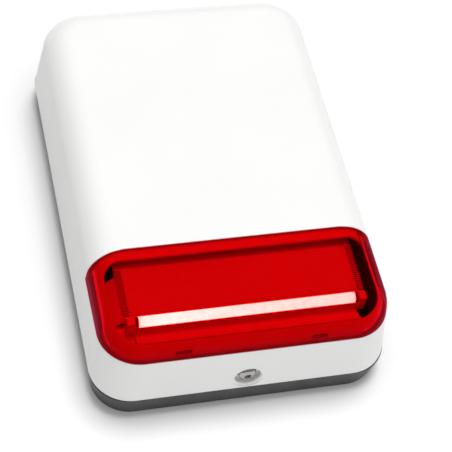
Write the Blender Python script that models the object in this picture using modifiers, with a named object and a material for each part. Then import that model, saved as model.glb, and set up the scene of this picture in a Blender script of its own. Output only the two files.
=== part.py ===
"""Outdoor alarm siren: a drafted two-part housing with a flush warning lens, hung on hooks and locked by one screw.

The siren lies on its back. The origin is the middle of the wall face, +Z points out of the front,
+Y points to the end that is on top when it hangs on a wall, and +X to its right. Units are metres.
"""

import math

import bmesh
import bpy
from mathutils import Matrix, Vector

MM = 0.001
GAP = 0.3 * MM

# Housing
WIDTH = 200 * MM
LENGTH = 297 * MM
DEPTH = 80 * MM
PARTING = 19.5 * MM
WALL_LEAN = 0.106
CORNER_RADIUS = 27 * MM
FRONT_SETBACK = 17.8 * MM
COVER_WALL = 3 * MM

# Base
BASE_TOP = PARTING - GAP
BASE_LEAN = 2.7 * MM
BASE_WALL = 2.6 * MM
FLOOR = 3 * MM
MOUNT_HOLE = (84 * MM, 132 * MM)
MOUNT_HOLE_RADIUS = 3 * MM
MOUNT_SLOT = 10 * MM

# Lens seat and window
LENS_WALL = 2.4 * MM
SEAT_INSET = LENS_WALL + GAP
FLANGE_WALL = 2 * MM
LENS_TOP_EDGE = -71.2 * MM
LENS_SIDE_DROP = 3.4 * MM
LENS_LOW_EDGE = 55.2 * MM
LENS_LOW_SLOPE = 0.03
WINDOW_HALF = 87 * MM
WINDOW_TOP = -78 * MM
WINDOW_LOW = -138 * MM
CATCH_X = 44.5 * MM
CATCH_HALF = 5 * MM
CATCH_Z = 61.2 * MM

# Cover lock: screw along Y in the lower end wall
SCREW_Z = 30.3 * MM
SCREW_RADIUS = 3 * MM
HEAD_RADIUS = 5.9 * MM
HEAD_FACE = -147.3 * MM
HEAD_SEAT = -144.1 * MM
SEAL_THICK = 0.9 * MM
RECESS_FLOOR = HEAD_SEAT + SEAL_THICK + 2 * GAP
RECESS_RADIUS = 8.6 * MM
BOSS_RADIUS = 10.5 * MM
BOSS_END = RECESS_FLOOR + 2.2 * MM
LUG_FRONT = BOSS_END + 0.9 * MM
LUG_TOP = 38 * MM
SHEET = 2 * MM
SCREW_TIP = -131.4 * MM
TONGUE_HALF = 5 * MM
TONGUE_REACH = 10.5 * MM
TONGUE_HEEL = 4.5 * MM
TONGUE_THICK = 4 * MM

# Hook hinge at the upper end
HINGE_Y = LENGTH / 2
HOOK_X = 55 * MM
HOOK_HALF = 8 * MM
HOOK_INNER = 6.9 * MM
HOOK_OUTER = 9.4 * MM
HOOK_TIP_ANGLE = math.radians(50)

# Sounder
HORN_Y = -26 * MM
MOUTH_RADIUS = 32 * MM
THROAT_RADIUS = 7 * MM
HORN_WALL = 2 * MM
DUCT_HALF = 23 * MM
DUCT_DEPTH = 5 * MM
DUCT_FLOOR = 8 * MM
HORN_THROAT_Z = 30 * MM
DRIVER_RADIUS = 26 * MM
DRIVER_DEPTH = 17 * MM
HORN_EAR_REACH = 40 * MM

# Light
TUBE_Y = -121.4 * MM
TUBE_Z = 71 * MM
TUBE_RADIUS = 3.5 * MM
TUBE_HALF = 72.2 * MM
REFLECTOR_HALF = 79.5 * MM
BOWL_HALF = 73 * MM
BOWL_START = -117 * MM
RIB_FACE = 70 * MM
RIB_PITCH = 3.2 * MM
RIB_COUNT = 11
SHELF_END = -68.6 * MM
SHELF_LOW = 67 * MM
SHELF_TOP = RIB_FACE - 0.9 * MM
LIGHT_BOSS = (60 * MM, -72.4 * MM)
LAMP_BOARD_TOP = 66.6 * MM
CONTACT_BLOCK_X = (20 * MM, 32 * MM)

# Electronics
BOARD_Z = 9.3 * MM
BOARD_THICK = 1.6 * MM
BOARD_HALF_X = 72 * MM
BOARD_Y = (30 * MM, 118 * MM)
BOARD_SCREW_X = 66 * MM
BOARD_SCREW_Y = (36 * MM, 112 * MM)
BATTERY_SIZE = (97 * MM, 52 * MM, 43 * MM)
BATTERY_Y = (-123.5 * MM, -71.5 * MM)
BRACKET_Y = -97 * MM
BRACKET_SCREW_X = 58 * MM
SWITCH_PLACE = (70 * MM, 15 * MM)
TAB_RADIUS = 11 * MM
SWITCH_TOP = 24 * MM
PLUNGER_TIP = 29 * MM
GROMMET_PLACE = (-70 * MM, 15 * MM)
GROMMET_RADIUS = 9 * MM

ROUND_STEPS = 20
SMOOTH_ANGLE = math.radians(40)


# Scene and materials


def clear_scene():
    for obj in list(bpy.data.objects):
        bpy.data.objects.remove(obj, do_unlink=True)


def new_collection(name):
    collection = bpy.data.collections.new(name)
    bpy.context.scene.collection.children.link(collection)
    return collection


def finish(name, colour, roughness, metallic=0.0, alpha=1.0):
    """A Principled material."""
    material = bpy.data.materials.new(name)
    material.use_nodes = True
    shader = material.node_tree.nodes["Principled BSDF"]
    shader.inputs["Base Color"].default_value = (*colour, 1.0)
    shader.inputs["Roughness"].default_value = roughness
    shader.inputs["Metallic"].default_value = metallic
    shader.inputs["Alpha"].default_value = alpha
    material.diffuse_color = (*colour, alpha)
    return material


# Objects: visible pieces go in one collection, cutters and added shapes in another


def place(name, mesh, location, collection):
    obj = bpy.data.objects.new(name, mesh)
    obj.location = location
    collection.objects.link(obj)
    return obj


def piece(name, shape, material, location=(0, 0, 0)):
    """The visible sub-part made of one bmesh, with its origin at location."""
    mesh = bpy.data.meshes.new(name)
    bmesh.ops.translate(shape, verts=shape.verts, vec=-Vector(location))
    shape.to_mesh(mesh)
    shape.free()
    mesh.materials.append(material)
    mesh.shade_smooth()
    mesh.set_sharp_from_angle(angle=SMOOTH_ANGLE)
    return place(name, mesh, location, PARTS)


def helper(name, shape):
    """A hidden shape that other objects are cut with or joined to."""
    mesh = bpy.data.meshes.new(name)
    shape.to_mesh(mesh)
    shape.free()
    obj = place(name, mesh, (0, 0, 0), CUTTERS)
    obj.hide_render = True
    obj.display_type = "WIRE"
    return obj


def combine(target, other, operation):
    modifier = target.modifiers.new(f"{operation.lower()} {other.name}", "BOOLEAN")
    modifier.operation = operation
    modifier.solver = "EXACT"
    modifier.object = other


def cut(target, name, shape):
    other = helper(name, shape)
    combine(target, other, "DIFFERENCE")
    return other


def join(target, name, shape):
    other = helper(name, shape)
    combine(target, other, "UNION")
    return other


# Shapes


def block(low, high):
    """A box between two opposite corners."""
    shape = bmesh.new()
    low, high = Vector(low), Vector(high)
    bmesh.ops.create_cube(shape, size=1)
    bmesh.ops.scale(shape, verts=shape.verts, vec=high - low)
    bmesh.ops.translate(shape, verts=shape.verts, vec=(low + high) / 2)
    return shape


AXIS_TURN = {
    "X": Matrix.Rotation(math.radians(90), 3, "Y"),
    "Y": Matrix.Rotation(math.radians(-90), 3, "X"),
    "Z": Matrix.Identity(3),
}


def drum(start, radius, length, axis="Z", end_radius=None, steps=ROUND_STEPS):
    """A cylinder or cone that runs from start along +axis."""
    shape = bmesh.new()
    bmesh.ops.create_cone(
        shape,
        cap_ends=True,
        segments=steps,
        radius1=radius,
        radius2=radius if end_radius is None else end_radius,
        depth=length,
    )
    bmesh.ops.translate(shape, verts=shape.verts, vec=(0, 0, length / 2))
    bmesh.ops.rotate(shape, verts=shape.verts, cent=(0, 0, 0), matrix=AXIS_TURN[axis])
    bmesh.ops.translate(shape, verts=shape.verts, vec=start)
    return shape


def merged(*shapes):
    """Several shapes in one bmesh, as separate bodies or for a Boolean."""
    whole = shapes[0]
    for shape in shapes[1:]:
        mesh = bpy.data.meshes.new("merge")
        shape.to_mesh(mesh)
        shape.free()
        whole.from_mesh(mesh)
        bpy.data.meshes.remove(mesh)
    return whole


def outline_solid(points, thickness, turn=None, move=(0, 0, 0)):
    """A flat outline in XY, thickened evenly about its plane, then turned and moved."""
    curve = bpy.data.curves.new("outline", "CURVE")
    curve.dimensions = "2D"
    curve.fill_mode = "BOTH"
    curve.extrude = thickness / 2
    spline = curve.splines.new("POLY")
    spline.points.add(len(points) - 1)
    for point, (x, y) in zip(spline.points, points):
        point.co = (x, y, 0, 1)
    spline.use_cyclic_u = True
    shape = curve_to_bmesh(curve)
    if turn is not None:
        bmesh.ops.rotate(shape, verts=shape.verts, cent=(0, 0, 0), matrix=turn)
    bmesh.ops.translate(shape, verts=shape.verts, vec=move)
    return shape


def curve_to_bmesh(curve):
    """The welded mesh of a curve, facing outwards; the curve is removed."""
    obj = place("curve", curve, (0, 0, 0), CUTTERS)
    graph = bpy.context.evaluated_depsgraph_get()
    mesh = bpy.data.meshes.new_from_object(obj.evaluated_get(graph))
    shape = bmesh.new()
    shape.from_mesh(mesh)
    bmesh.ops.remove_doubles(shape, verts=shape.verts, dist=0.001 * MM)
    bmesh.ops.recalc_face_normals(shape, faces=shape.faces)
    bpy.data.objects.remove(obj, do_unlink=True)
    bpy.data.curves.remove(curve)
    bpy.data.meshes.remove(mesh)
    return shape


YZ_TO_XY = Matrix(((0, 0, 1), (1, 0, 0), (0, 1, 0)))
XZ_TO_XY = Matrix(((1, 0, 0), (0, 0, -1), (0, 1, 0)))


def side_profile(points, low_x, high_x):
    """An outline in the YZ plane, extruded from low_x to high_x."""
    return outline_solid(points, high_x - low_x, YZ_TO_XY, ((low_x + high_x) / 2, 0, 0))


def end_profile(points, low_y, high_y):
    """An outline in the XZ plane, extruded from low_y to high_y."""
    return outline_solid(points, high_y - low_y, XZ_TO_XY, (0, (low_y + high_y) / 2, 0))


def plan_solid(points, low_z, high_z):
    """An outline in the XY plane, extruded from low_z to high_z."""
    return outline_solid(points, high_z - low_z, None, (0, 0, (low_z + high_z) / 2))


def arc(centre, radius, start, stop, steps):
    """Points along an arc, angles in degrees."""
    turn = math.radians(stop - start) / steps
    first = math.radians(start)
    return [
        (centre[0] + radius * math.cos(first + turn * i), centre[1] + radius * math.sin(first + turn * i))
        for i in range(steps + 1)
    ]


def rounded_rectangle(low, high, radii, steps=6):
    """An outline anticlockwise from the lower left corner, with one radius for each corner."""
    corners = (
        (low[0], low[1], 1, 1),
        (high[0], low[1], -1, 1),
        (high[0], high[1], -1, -1),
        (low[0], high[1], 1, -1),
    )
    points = []
    for quarter, ((x, y, in_x, in_y), radius) in enumerate(zip(corners, radii)):
        centre = (x + in_x * radius, y + in_y * radius)
        points += arc(centre, radius, 180 + 90 * quarter, 270 + 90 * quarter, steps)
    return points


def drafted_box(half, low, high, lean, corner, setback=0.0, corner_steps=6, setback_steps=5):
    """A box with round upright corners whose walls lean in by lean over its height."""
    shape = bmesh.new()
    bmesh.ops.create_cube(shape, size=2)
    for vert in shape.verts:
        upper = vert.co.z > 0
        inward = lean if upper else 0
        vert.co.x = math.copysign(half[0] - inward, vert.co.x)
        vert.co.y = math.copysign(half[1] - inward, vert.co.y)
        vert.co.z = high if upper else low
    uprights = [edge for edge in shape.edges if edge.verts[0].co.z != edge.verts[1].co.z]
    round_edges(shape, uprights, corner, corner_steps)
    if setback:
        level = max(vert.co.z for vert in shape.verts)
        rim = [edge for edge in shape.edges if min(v.co.z for v in edge.verts) > level - GAP]
        round_edges(shape, rim, setback, setback_steps)
    return shape


def round_edges(shape, edges, radius, steps):
    bmesh.ops.bevel(
        shape,
        geom=edges,
        offset=radius,
        offset_type="OFFSET",
        segments=steps,
        profile=0.5,
        affect="EDGES",
        clamp_overlap=False,
    )


def cover_form(inset, low):
    """The cover's outer form, moved inwards by inset and cut off at the height low."""
    high = DEPTH - inset
    spread = WALL_LEAN * (PARTING - low)
    half = (WIDTH / 2 - inset + spread, LENGTH / 2 - inset + spread)
    lean = WALL_LEAN * (high - low)
    return drafted_box(half, low, high, lean, CORNER_RADIUS - inset, FRONT_SETBACK - 0.9 * inset)


def lens_zone(grow):
    """The region that the lens takes up, grown outwards by grow past its edge."""
    reach = WIDTH
    side_y = LENS_TOP_EDGE - LENS_SIDE_DROP
    bend = (72 * MM, 82 * MM, 94 * MM)
    upper = [
        (-reach, side_y + grow),
        (-bend[2], side_y + grow),
        (-bend[1], LENS_TOP_EDGE - 1.4 * MM + grow),
        (-bend[0], LENS_TOP_EDGE + grow),
    ]
    points = [(-reach, -reach)] + upper + [(-x, y) for x, y in reversed(upper)] + [(reach, -reach)]
    shape = plan_solid(points, LENS_LOW_EDGE, 2 * DEPTH)
    for vert in shape.verts:
        if vert.co.z < DEPTH:
            vert.co.z = LENS_LOW_EDGE - grow + LENS_LOW_SLOPE * (side_y - vert.co.y)
    return shape


def tube_along(points, radius, sides=2):
    """A round tube with filled ends along a list of points."""
    curve = bpy.data.curves.new("tube", "CURVE")
    curve.dimensions = "3D"
    curve.bevel_depth = radius
    curve.bevel_resolution = sides
    curve.use_fill_caps = True
    spline = curve.splines.new("POLY")
    spline.points.add(len(points) - 1)
    for point, place_at in zip(spline.points, points):
        point.co = (*place_at, 1)
    return curve_to_bmesh(curve)


def smooth_route(knots, per_span=4):
    """Points of a Catmull-Rom curve through the knots."""
    knots = [Vector(knot) for knot in knots]
    padded = [2 * knots[0] - knots[1]] + knots + [2 * knots[-1] - knots[-2]]
    points = []
    for a, b, c, d in zip(padded, padded[1:], padded[2:], padded[3:]):
        for i in range(per_span):
            t = i / per_span
            points.append(
                (2 * b + (c - a) * t + (2 * a - 5 * b + 4 * c - d) * t**2 + (3 * b - a - 3 * c + d) * t**3) / 2
            )
    return points + [knots[-1]]


def turned(name, profile, material, location, steps=24):
    """A turned sub-part: a closed profile of (radius, height) points swept about an upright axis."""
    shape = bmesh.new()
    verts = [shape.verts.new((radius, 0, height)) for radius, height in profile]
    for first, second in zip(verts, verts[1:] + verts[:1]):
        shape.edges.new((first, second))
    mesh = bpy.data.meshes.new(name)
    shape.to_mesh(mesh)
    shape.free()
    mesh.materials.append(material)
    obj = place(name, mesh, location, PARTS)
    screw = obj.modifiers.new("turn", "SCREW")
    screw.axis = "Z"
    screw.steps = steps
    screw.render_steps = steps
    screw.use_merge_vertices = True
    screw.merge_threshold = 0.01 * MM
    screw.use_smooth_shade = True
    return obj


def machine_screw(name, x, y, head_seat, length, material, up=1):
    """A pan-head M3 screw standing in its hole, head up, or head down where up is -1."""
    radius, head = 1.5 * MM, 2.9 * MM
    low, high = sorted((head_seat - up * length, head_seat + up * 0.5 * MM))
    obj = piece(name, drum((x, y, low), radius, high - low, steps=10), material, (x, y, head_seat))
    radii = (head, head * 0.8)[::up]
    head_low = min(head_seat, head_seat + up * 1.8 * MM)
    join(obj, f"{name} head", drum((x, y, head_low), radii[0], 1.8 * MM, end_radius=radii[1], steps=14))
    slot_low, slot_high = sorted((head_seat + up * MM, head_seat + up * 3 * MM))
    slot = block((x - head * 0.6, y - 0.35 * MM, slot_low), (x + head * 0.6, y + 0.35 * MM, slot_high))
    cut(obj, f"{name} slot", slot)
    return obj


clear_scene()
PARTS = new_collection("alarm_siren")
CUTTERS = new_collection("cutters")

WHITE_SHELL = finish("white_shell", (0.86, 0.86, 0.85), 0.32)
CHARCOAL_SHELL = finish("charcoal_shell", (0.045, 0.042, 0.043), 0.5)
RED_LENS = finish("red_lens", (0.72, 0.0, 0.01), 0.08, alpha=0.45)
WHITE_INNER = finish("white_inner", (0.8, 0.8, 0.79), 0.45)
LAMP_GLASS = finish("lamp_glass", (0.95, 0.9, 0.88), 0.15)
BLACK_MOULDING = finish("black_moulding", (0.02, 0.02, 0.022), 0.45)
STEEL = finish("steel", (0.62, 0.62, 0.63), 0.25, 1.0)
ZINC_SHEET = finish("zinc_sheet", (0.5, 0.52, 0.54), 0.4, 1.0)
BRASS = finish("brass_tab", (0.75, 0.55, 0.22), 0.3, 1.0)
CIRCUIT_GREEN = finish("circuit_green", (0.02, 0.17, 0.06), 0.4)
TERMINAL_GREEN = finish("terminal_green", (0.05, 0.38, 0.14), 0.45)
BLACK_RUBBER = finish("black_rubber", (0.015, 0.015, 0.015), 0.8)
COPPER_COIL = finish("copper_coil", (0.55, 0.24, 0.1), 0.35, 1.0)
CAN_BLUE = finish("can_blue", (0.03, 0.06, 0.2), 0.3)
BATTERY_CASE = finish("battery_case", (0.035, 0.035, 0.04), 0.55)
RED_WIRE = finish("red_wire", (0.55, 0.02, 0.02), 0.45)
BLACK_WIRE = finish("black_wire", (0.02, 0.02, 0.02), 0.45)
GREY_WIRE = finish("grey_wire", (0.35, 0.35, 0.36), 0.45)


# Base: shallow tray with a sound duct across its back


def base_form(inset, low):
    """The base's outer form, which widens towards the cover."""
    spread = BASE_LEAN * (low / BASE_TOP)
    half = (WIDTH / 2 - 2.8 * MM - inset + spread, LENGTH / 2 - 2.8 * MM - inset + spread)
    lean = -BASE_LEAN * (1 - low / BASE_TOP)
    return drafted_box(half, low, BASE_TOP, lean, CORNER_RADIUS - 2 * MM - inset)


def make_base():
    base = piece("base", base_form(0, 0), CHARCOAL_SHELL)
    hollow = base_form(BASE_WALL, FLOOR)
    for vert in hollow.verts:
        if vert.co.z > BASE_TOP - GAP:
            vert.co.z += GAP
    cut(base, "base hollow", hollow)
    duct_low, duct_high = HORN_Y - DUCT_HALF, HORN_Y + DUCT_HALF
    inner_x = WIDTH / 2 - 4.5 * MM
    join(
        base,
        "duct floor",
        block((-inner_x, duct_low - FLOOR, FLOOR - MM), (inner_x, duct_high + FLOOR, DUCT_FLOOR)),
    )
    cut(base, "duct", block((-WIDTH, duct_low, -MM), (WIDTH, duct_high, DUCT_DEPTH)))
    slots = [
        block((x - 1.7 * MM, HORN_Y - 17 * MM, DUCT_DEPTH - MM), (x + 1.7 * MM, HORN_Y + 17 * MM, DUCT_FLOOR + MM))
        for x in (i * 7 * MM for i in range(-3, 4))
    ]
    cut(base, "sound slots", merged(*slots))
    add_bosses(base)
    for index, (side_x, side_y) in enumerate(((-1, -1), (1, -1), (1, 1), (-1, 1))):
        x, y = side_x * MOUNT_HOLE[0], side_y * MOUNT_HOLE[1]
        reach = (MOUNT_SLOT / 2 - MOUNT_HOLE_RADIUS) if side_y < 0 else 0
        slot = rounded_rectangle(
            (x - reach - MOUNT_HOLE_RADIUS, y - MOUNT_HOLE_RADIUS),
            (x + reach + MOUNT_HOLE_RADIUS, y + MOUNT_HOLE_RADIUS),
            [MOUNT_HOLE_RADIUS * 0.999] * 4,
            4,
        )
        cut(base, f"mounting hole {index + 1}", plan_solid(slot, -MM, FLOOR + MM))
    cut(base, "cable entry", drum((*GROMMET_PLACE, -MM), GROMMET_RADIUS, FLOOR + 2 * MM))
    cut(base, "tear-off hole", drum((*SWITCH_PLACE, -MM), TAB_RADIUS + GAP, FLOOR + 2 * MM))
    for side in (-1, 1):
        x = side * HOOK_X
        keeper_y = HINGE_Y - 5.5 * MM
        keeper = block(
            (x - HOOK_HALF - 2 * MM, keeper_y, PARTING - 3.3 * MM),
            (x + HOOK_HALF + 2 * MM, keeper_y + 4 * MM, BASE_TOP),
        )
        join(base, f"hook keeper {side}", keeper)
    return base


def add_bosses(base):
    """Posts that carry the board, sounder, battery strap and lock bracket, each with its screw hole."""
    start = FLOOR - MM
    bosses = [(x, y, BOARD_Z - GAP, 4 * MM, 5 * MM) for x, y in board_corners()]
    bosses += [(0, y, DUCT_FLOOR, 4 * MM, 5 * MM) for y in horn_ears()]
    bosses += [(side * BRACKET_SCREW_X, BRACKET_Y, 7 * MM, 4 * MM, 5 * MM) for side in (-1, 1)]
    for index, (x, y, top, radius, depth) in enumerate(bosses):
        join(base, f"boss {index + 1}", drum((x, y, start), radius, top - start, steps=14))
        cut(base, f"boss hole {index + 1}", drum((x, y, top - depth), 1.5 * MM + GAP, depth + MM, steps=10))
    pad = block((-12 * MM, LUG_FRONT, start), (12 * MM, -127 * MM, 7 * MM))
    join(base, "lock bracket pad", pad)
    cut(base, "lock bracket hole", drum((0, -131 * MM, 2 * MM), 1.5 * MM + GAP, 6 * MM, steps=10))


def board_corners():
    return [(side * BOARD_SCREW_X, y) for y in BOARD_SCREW_Y for side in (-1, 1)]


def horn_ears():
    return [HORN_Y - HORN_EAR_REACH, HORN_Y + HORN_EAR_REACH]


# Cover with a recessed seat for the lens and a window behind it


def make_cover():
    cover = piece("cover", cover_form(0, PARTING), WHITE_SHELL, (0, HINGE_Y, PARTING))
    seat = cut(cover, "lens seat", lens_zone(0))
    combine(seat, helper("seat floor", cover_form(SEAT_INSET, PARTING - 9 * MM)), "DIFFERENCE")
    hollow = cut(cover, "cover hollow", cover_form(COVER_WALL, PARTING - 5 * MM))
    flange = helper("flange", lens_zone(3 * MM))
    combine(flange, helper("flange inside", cover_form(SEAT_INSET + FLANGE_WALL, PARTING - 9 * MM)), "DIFFERENCE")
    combine(hollow, flange, "DIFFERENCE")
    window = rounded_rectangle(
        (-WINDOW_HALF, WINDOW_LOW),
        (WINDOW_HALF, WINDOW_TOP),
        (20 * MM, 20 * MM, 11 * MM, 11 * MM),
    )
    cut(cover, "window", plan_solid(window, 50 * MM, 2 * DEPTH))
    catches = [
        block(
            (side * CATCH_X - CATCH_HALF - GAP, -143.5 * MM, CATCH_Z - 1.5 * MM - GAP),
            (side * CATCH_X + CATCH_HALF + GAP, -136 * MM, CATCH_Z + 1.5 * MM + GAP),
        )
        for side in (-1, 1)
    ]
    cut(cover, "catch slots", merged(*catches))
    add_lock_seat(cover)
    add_hooks(cover)
    add_light_mounts(cover)
    press_post = drum((*SWITCH_PLACE, PLUNGER_TIP + GAP), 3 * MM, DEPTH - 2 * MM - PLUNGER_TIP, end_radius=5 * MM, steps=16)
    join(cover, "tamper post", press_post)
    return cover


def add_lock_seat(cover):
    """The recess and boss for the lock screw in the lower end wall."""
    start = -145.7 * MM
    join(cover, "lock boss", drum((0, start, SCREW_Z), BOSS_RADIUS, BOSS_END - start, "Y", steps=28))
    cut(
        cover,
        "screw recess",
        drum((0, -155 * MM, SCREW_Z), RECESS_RADIUS, RECESS_FLOOR + 155 * MM, "Y", steps=28),
    )
    cut(cover, "screw hole", drum((0, -150 * MM, SCREW_Z), SCREW_RADIUS + GAP, 12 * MM, "Y"))


def hook_outline():
    """The hook's side view: a web on the end wall and a claw about the hinge line."""
    tip = math.degrees(HOOK_TIP_ANGLE)
    centre = (HINGE_Y, PARTING)
    outer = arc(centre, HOOK_OUTER, 180, 180 + tip, 5)
    inner = arc(centre, HOOK_INNER, 180 + tip, 180, 5)
    web_top = (HINGE_Y - 2.2 * MM, PARTING + 7 * MM)
    web_low = (HINGE_Y - 2.2 * MM, PARTING + GAP)
    return [web_top, (HINGE_Y - HOOK_OUTER, PARTING + 2.5 * MM)] + outer + inner + [web_low]


def add_hooks(cover):
    for side in (-1, 1):
        x = side * HOOK_X
        join(cover, f"hook {side}", side_profile(hook_outline(), x - HOOK_HALF, x + HOOK_HALF))


def add_light_mounts(cover):
    """Two screw bosses under the upper flange and two ledges on the lower wall, which carry the reflector."""
    x, y = LIGHT_BOSS
    low = SHELF_TOP + GAP
    for side in (-1, 1):
        join(cover, f"light boss {side}", drum((side * x, y, low), 3 * MM, 6.6 * MM, steps=14))
        cut(cover, f"light boss hole {side}", drum((side * x, y, low - MM), 1.5 * MM + GAP, 6.4 * MM, steps=10))
        low_x, high_x = side * x - 5 * MM, side * x + 5 * MM
        ledge = block((low_x, -139.8 * MM, 63.5 * MM), (high_x, -135.6 * MM, 65.8 * MM))
        join(cover, f"reflector ledge {side}", ledge)


def make_lens():
    """The lens follows the cover's outer form, with two snap hooks through the flange."""
    lens = piece("lens", cover_form(0, PARTING), RED_LENS)
    combine(lens, helper("lens outline", lens_zone(-GAP)), "INTERSECT")
    cut(lens, "lens inside", cover_form(LENS_WALL, PARTING - 9 * MM))
    for side in (-1, 1):
        x = side * CATCH_X
        hook = block(
            (x - CATCH_HALF, -143 * MM, CATCH_Z - 1.5 * MM),
            (x + CATCH_HALF, -138.9 * MM, CATCH_Z + 1.5 * MM),
        )
        join(lens, f"snap hook {side}", hook)
    return lens


# Lock: captive screw, seal and tongue on the cover, slotted bracket on the base


def make_lock():
    shank = drum((0, HEAD_SEAT - MM, SCREW_Z), SCREW_RADIUS, SCREW_TIP - HEAD_SEAT + MM, "Y", steps=16)
    screw = piece("cover_screw", shank, STEEL, (0, HEAD_SEAT, SCREW_Z))
    head = drum((0, HEAD_FACE, SCREW_Z), HEAD_RADIUS * 0.75, HEAD_SEAT - HEAD_FACE, "Y", HEAD_RADIUS, 24)
    join(screw, "lock screw head", head)
    cut(screw, "lock screw socket", drum((0, HEAD_FACE - MM, SCREW_Z), 2.3 * MM, 2.8 * MM, "Y", steps=6))
    seal_start = HEAD_SEAT + GAP
    ring = drum((0, seal_start, SCREW_Z), 6.2 * MM, SEAL_THICK, "Y")
    seal = piece("screw_seal", ring, BLACK_RUBBER, (0, seal_start, SCREW_Z))
    cut(seal, "seal bore", drum((0, seal_start - MM, SCREW_Z), SCREW_RADIUS + GAP, 4 * MM, "Y", steps=16))
    start = LUG_FRONT + SHEET + GAP
    low = (-TONGUE_HALF, start, SCREW_Z - TONGUE_REACH)
    high = (TONGUE_HALF, start + TONGUE_THICK, SCREW_Z + TONGUE_HEEL)
    tongue = piece("lock_tongue", block(low, high), ZINC_SHEET, (0, start, SCREW_Z))
    bore = drum((0, start - MM, SCREW_Z), SCREW_RADIUS + GAP, TONGUE_THICK + 2 * MM, "Y", steps=16)
    cut(tongue, "tongue bore", bore)


def make_lock_bracket():
    """A sheet-steel angle: its upright has a slot open at the top, and a tab that the turned tongue stands under."""
    foot_z = 7 * MM + GAP
    foot_end = -127 * MM
    screw_y = -131 * MM
    back = LUG_FRONT + SHEET
    outline = [
        (LUG_FRONT, foot_z),
        (foot_end, foot_z),
        (foot_end, foot_z + SHEET),
        (back, foot_z + SHEET),
        (back, LUG_TOP),
        (LUG_FRONT, LUG_TOP),
    ]
    bracket = piece("lock_bracket", side_profile(outline, -12 * MM, 12 * MM), ZINC_SHEET)
    slot_half = SCREW_RADIUS + 0.4 * MM
    low = (-slot_half, LUG_FRONT - MM, SCREW_Z)
    cut(bracket, "lock slot", block(low, (slot_half, back + MM, LUG_TOP + MM)))
    cut(bracket, "lock slot end", drum((0, LUG_FRONT - MM, SCREW_Z), slot_half, SHEET + 2 * MM, "Y"))
    tab_low = (-12 * MM, back - MM, LUG_TOP - SHEET)
    tab_high = (-TONGUE_HALF - 0.8 * MM, back + GAP + TONGUE_THICK + MM, LUG_TOP)
    join(bracket, "lock tab", block(tab_low, tab_high))
    cut(bracket, "bracket hole", drum((0, screw_y, foot_z - MM), 1.5 * MM + GAP, SHEET + 2 * MM, steps=10))
    machine_screw("lock_bracket_screw", 0, screw_y, foot_z + SHEET + GAP, 6 * MM, STEEL)


# Light: ribbed reflector, tube and its drive board


def reflector_outline():
    """The reflector's side view: a plain shelf, a ribbed face, then a trough under the tube."""
    first_rib = -79.8 * MM
    ridge = [(SHELF_END, SHELF_TOP), (first_rib, SHELF_TOP)]
    for rib in range(RIB_COUNT):
        y = first_rib - rib * RIB_PITCH
        ridge += [(y - RIB_PITCH / 2, RIB_FACE), (y - RIB_PITCH, SHELF_TOP)]
    bowl = [(-116.4, 68.6), (-117.4, 65.2), (-119.8, 62.7), (-123.4, 61.8), (-128, 62.8), (-132.6, 65.3)]
    lip = [(-136.3, 68.8), (-136.3, 67)]
    under = [(-132.2, 63.7), (-127.8, 61.2), (-123.2, 60.2), (-118.9, 61.2), (-115.9, 64.2), (-115, 67)]
    shaped = [(y * MM, z * MM) for y, z in bowl + lip + under]
    return ridge + shaped + [(SHELF_END, SHELF_LOW)]


def make_light():
    """The light hangs in the cover; sprung contacts on the battery strap feed it when the cover is shut."""
    reflector = piece("reflector", side_profile(reflector_outline(), -REFLECTOR_HALF, REFLECTOR_HALF), WHITE_INNER)
    for side, word in ((-1, "left"), (1, "right")):
        notch_x = sorted((side * BOWL_HALF, side * WIDTH / 2))
        notch = block((notch_x[0], -LENGTH / 2, 50 * MM), (notch_x[1], BOWL_START, DEPTH))
        cut(reflector, f"bowl end {side}", notch)
        x, y = side * LIGHT_BOSS[0], LIGHT_BOSS[1]
        hole = drum((x, y, SHELF_LOW - MM), 1.5 * MM + GAP, 4 * MM, steps=10)
        cut(reflector, f"shelf hole {word}", hole)
        machine_screw(f"reflector_screw_{word}", x, y, SHELF_LOW - GAP, 7.6 * MM, STEEL, up=-1)
        make_tube_holder(word, side)
    glass = drum((-TUBE_HALF, TUBE_Y, TUBE_Z), TUBE_RADIUS, 2 * TUBE_HALF, "X", steps=20)
    tube = piece("light_tube", glass, LAMP_GLASS, (0, TUBE_Y, TUBE_Z))
    pin_reach = TUBE_HALF + 4 * MM
    join(tube, "tube pins", drum((-pin_reach, TUBE_Y, TUBE_Z), 1.2 * MM, 2 * pin_reach, "X", steps=10))
    board_low = LAMP_BOARD_TOP - BOARD_THICK
    board = block((-35 * MM, -112 * MM, board_low), (35 * MM, -84 * MM, LAMP_BOARD_TOP))
    piece("lamp_board", board, CIRCUIT_GREEN)
    coil_top = board_low - GAP
    coil = drafted_box((12 * MM, 7 * MM), coil_top - 9 * MM, coil_top, 0, 1.5 * MM, corner_steps=2)
    bmesh.ops.translate(coil, verts=coil.verts, vec=(0, -98 * MM, 0))
    piece("lamp_inverter", coil, BLACK_MOULDING)
    make_lamp_contacts()


def make_lamp_contacts():
    """A block on the battery strap whose two bent blades press on the back of the lamp board."""
    low_x, high_x = CONTACT_BLOCK_X
    rest, top = 48.4 * MM, 58 * MM
    piece("lamp_contact_block", block((low_x, -102 * MM, rest), (high_x, -92 * MM, top)), BLACK_MOULDING)
    outer = [(-99.5, 58.3), (-99.5, 61), (-95, 64.7), (-93.4, 63.4)]
    inner = [(-93.7, 63), (-95, 64), (-99, 60.7), (-99, 58.3)]
    outline = [(y * MM, z * MM) for y, z in outer + inner]
    for word, x in (("left", low_x + 3 * MM), ("right", high_x - 3 * MM)):
        blade = side_profile(outline, x - 1.5 * MM, x + 1.5 * MM)
        piece(f"lamp_contact_{word}", blade, BRASS)


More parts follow.
